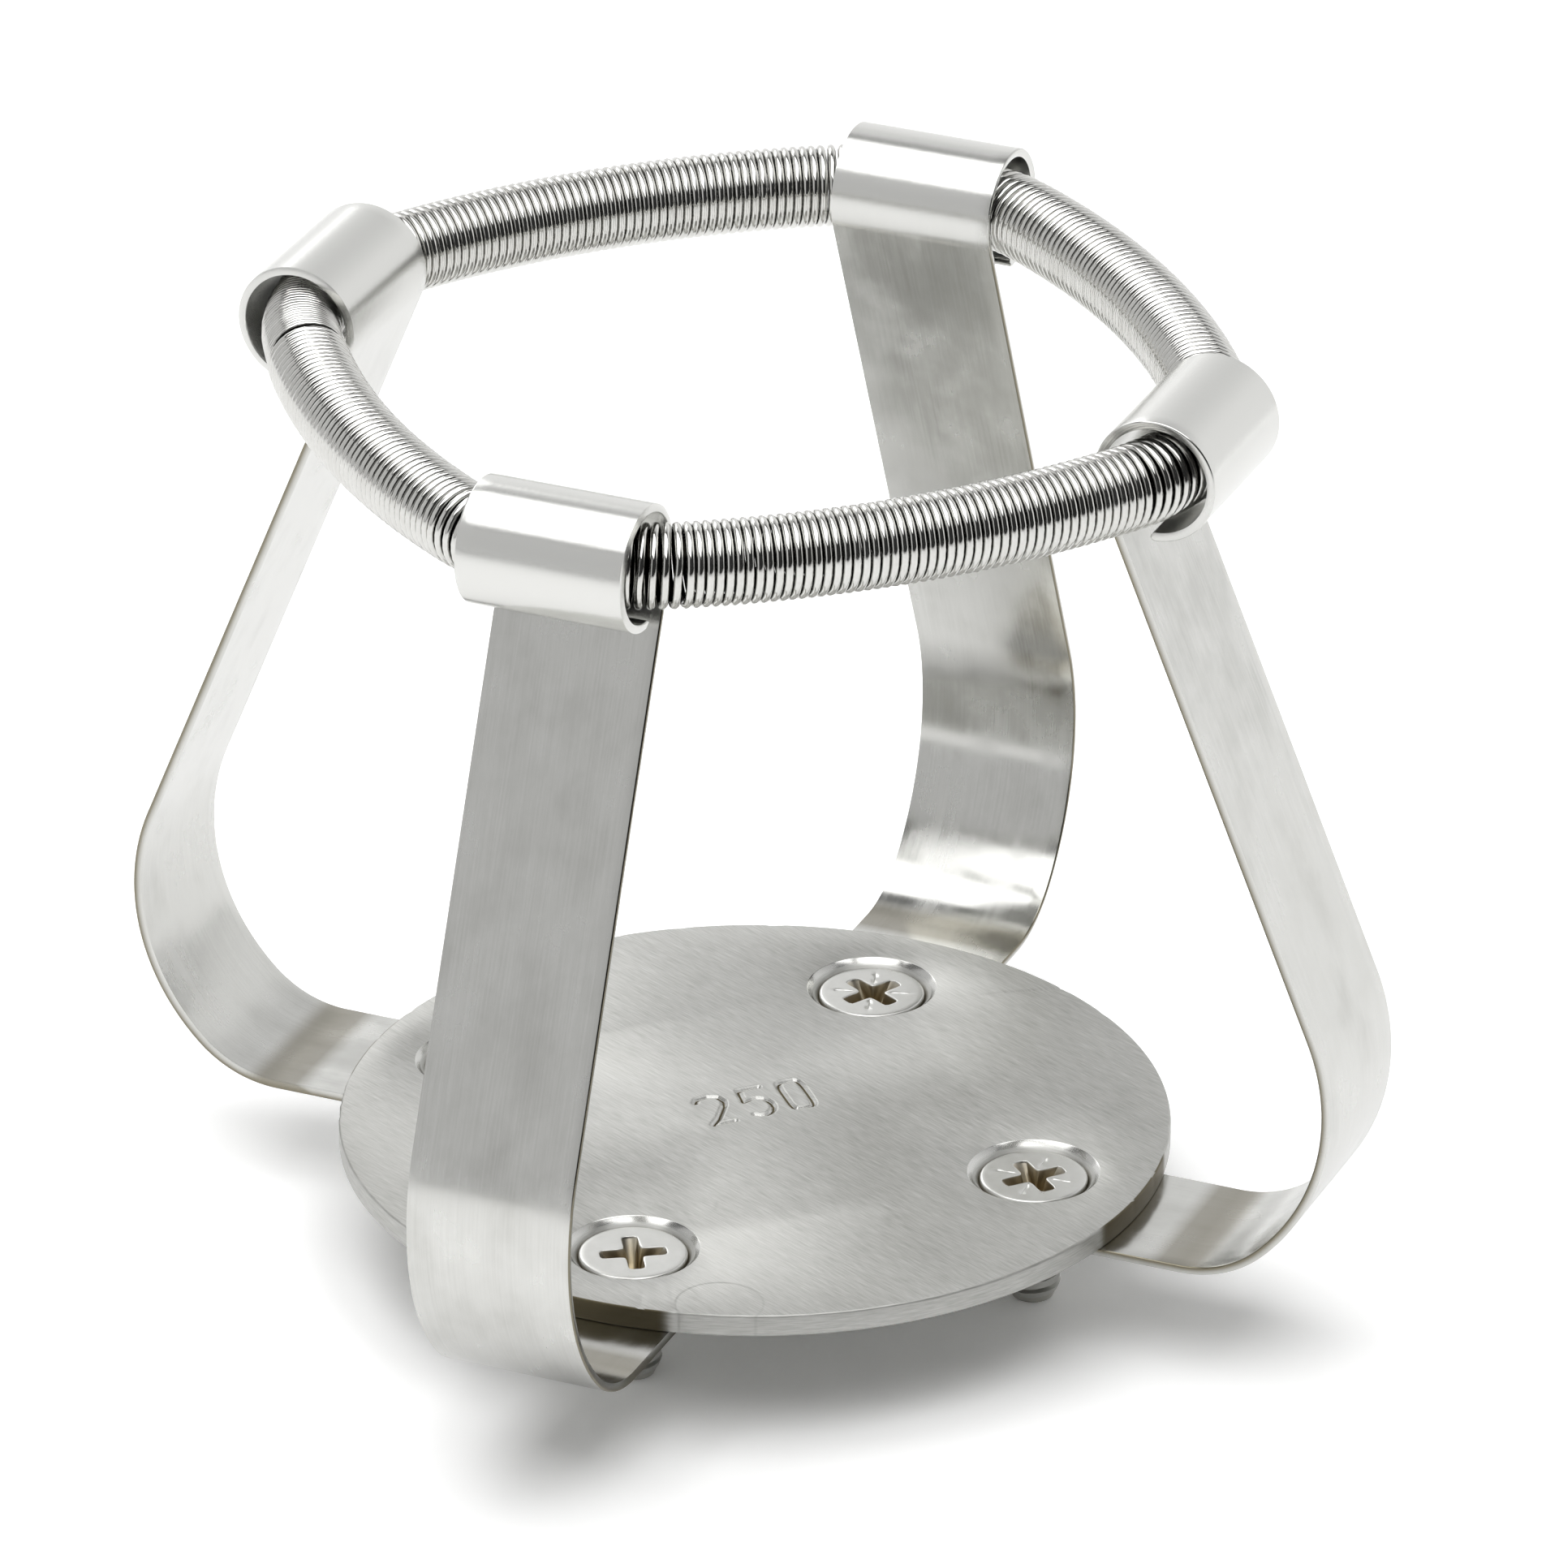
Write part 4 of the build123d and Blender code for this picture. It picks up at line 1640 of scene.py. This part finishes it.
@dataclass
class Studio:
    """The camera, the pale floor, the white surroundings, the cards and the soft lamps.

    The floor has three whites: one that lights the clamp, one that steel mirrors, and one that
    the camera sees. The surroundings light at fill_light and show as plain white.
    """

    azimuth: float = 23.255
    elevation: float = 26.56
    distance: float = 856.168
    target: tuple[float, float, float] = (1.717, -0.779, 28.646)
    focal_pixels: float = 15361.34
    image_height: int = 1932
    sensor: float = 36.0
    floor_level: float = -7.4
    floor_radius: float = 6000.0
    paper_white: float = 0.88
    seen_white: float = 1.26
    mirrored_white: float = 1.08
    fill_light: float = 0.74
    cards: tuple[Card, ...] = (
        Card("black_card", (-6.0, 106.0), (-6.0, 46.0), (0.03, 0.03)),
        Card("grey_card", (-116.0, -6.0), (-6.0, 40.0), (0.67, 0.67)),
        Card("white_sweep", (100.0, 250.0), (-1.0, 20.0), (1.02, 1.0), 460.0),
        Card("rear_hood", (106.0, 244.0), (24.0, 52.0), (1.0, 0.56)),
        Card("dark_ceiling", (0.0, 360.0), (40.0, 90.0), (0.16, 0.16), 2600.0),
    )
    lamps: tuple[Lamp, ...] = (
        Lamp("overhead_softbox", (-10.0, -155.0, 690.0), (-10.0, -155.0, 0.0), (880.0, 850.0), 2.3),
        Lamp("rear_left_softbox", (-643.0, 579.0, 520.0), target, (480.0, 380.0), 2.2),
    )

    def camera_side(self) -> Vector:
        """Return the level direction from the clamp to the camera."""
        angle = math.radians(self.azimuth)
        return Vector((math.sin(angle), -math.cos(angle), 0.0))

    def add_camera(self) -> bpy.types.Object:
        """Add the camera where the photograph was taken from."""
        rise = math.radians(self.elevation)
        back = self.camera_side() * math.cos(rise) + Vector((0, 0, math.sin(rise)))
        lens = bpy.data.cameras.new("camera")
        lens.sensor_fit = "AUTO"
        lens.sensor_width = self.sensor
        lens.lens = self.focal_pixels / self.image_height * self.sensor
        lens.clip_start = 0.01
        lens.clip_end = 50.0
        camera = add_object("camera", lens)
        camera.location = (Vector(self.target) + back * self.distance) * MM
        camera.rotation_mode = "QUATERNION"
        camera.rotation_quaternion = (-back).to_track_quat("-Z", "Y")
        bpy.context.scene.camera = camera
        return camera

    def add_floor(self) -> bpy.types.Object:
        """Add the pale floor that the screws' ends stand on."""
        mesh = bpy.data.meshes.new("floor")
        reach = self.floor_radius
        corners = [(x * reach * MM, y * reach * MM, self.floor_level * MM)
                   for x, y in ((-1, -1), (1, -1), (1, 1), (-1, 1))]
        mesh.from_pydata(corners, [], [(0, 1, 2, 3)])
        floor = add_object("floor", mesh)
        material = empty_material("matt_white_paper")
        tree = material.node_tree
        white = add_node(tree, "ShaderNodeMix", {"data_type": "FLOAT"},
                         {0: self.seen(tree), 2: self.paper_white,
                          3: self.mirrored_white}).outputs[0]
        straight = add_node(tree, "ShaderNodeLightPath").outputs["Is Camera Ray"]
        white = add_node(tree, "ShaderNodeMix", {"data_type": "FLOAT"},
                         {0: straight, 2: white, 3: self.seen_white}).outputs[0]
        shade = add_node(tree, "ShaderNodeCombineColor", {},
                         {"Red": white, "Green": white, "Blue": white}).outputs[0]
        paper = add_node(tree, "ShaderNodeBsdfDiffuse", {}, {"Color": shade}).outputs[0]
        add_node(tree, "ShaderNodeOutputMaterial", {}, {"Surface": paper})
        mesh.materials.append(material)
        return floor

    def seen(self, tree: bpy.types.NodeTree) -> bpy.types.NodeSocket:
        """Return 1 for rays that show the background, straight or in metal or glass."""
        ray = add_node(tree, "ShaderNodeLightPath").outputs
        either = add_node(tree, "ShaderNodeMath", {"operation": "MAXIMUM"},
                          {0: ray["Is Camera Ray"], 1: ray["Is Glossy Ray"]}).outputs[0]
        return add_node(tree, "ShaderNodeMath", {"operation": "MAXIMUM"},
                        {0: either, 1: ray["Is Transmission Ray"]}).outputs[0]

    def add_world(self) -> None:
        """Surround the scene with a white backdrop that lights it at a plain level."""
        world = bpy.data.worlds.new("white_backdrop")
        bpy.context.scene.world = world
        world.use_nodes = True
        tree = world.node_tree
        tree.nodes.clear()
        light = add_node(tree, "ShaderNodeMix", {"data_type": "FLOAT"},
                         {0: self.seen(tree), 2: self.fill_light, 3: 1.0}).outputs[0]
        back = add_node(tree, "ShaderNodeBackground", {},
                        {"Color": linear("#FFFFFF"), "Strength": light}).outputs[0]
        add_node(tree, "ShaderNodeOutputWorld", {}, {"Surface": back})

    def build(self) -> None:
        """Build the whole studio."""
        self.add_camera()
        self.add_floor()
        self.add_world()
        for card in self.cards:
            card.build()
        for lamp in self.lamps:
            lamp.build()
        bpy.context.scene.view_settings.view_transform = "Standard"


def main() -> None:
    """Build the studio and the clamp, and report each piece."""
    logging.basicConfig(level=logging.INFO, format="%(name)s %(message)s")
    Studio().build()
    Plate().build(PLATE_FINISH.build())
    strap_finish = STRAP_FINISH.build()
    names = ("right", "back", "left", "front")
    for index, name in enumerate(names):
        Strap(f"strap_{name}", f"arm_{name}", index * 90.0).build(strap_finish)
    winder = Winder()
    CoilRing().build(WIRE_FINISH.build(), winder)
    screw_finish = SCREW_FINISH.build()
    wing_turns = (49.0, 62.0, 20.0, 31.0)
    ticked = (True, True, False, False)
    for index, name in enumerate(names):
        Screw(f"screw_{name}_m4", f"screw_{name}", index * 90.0, wing_turns[index],
              ticked[index]).build(screw_finish, winder)


if __name__ == "__main__":
    main()
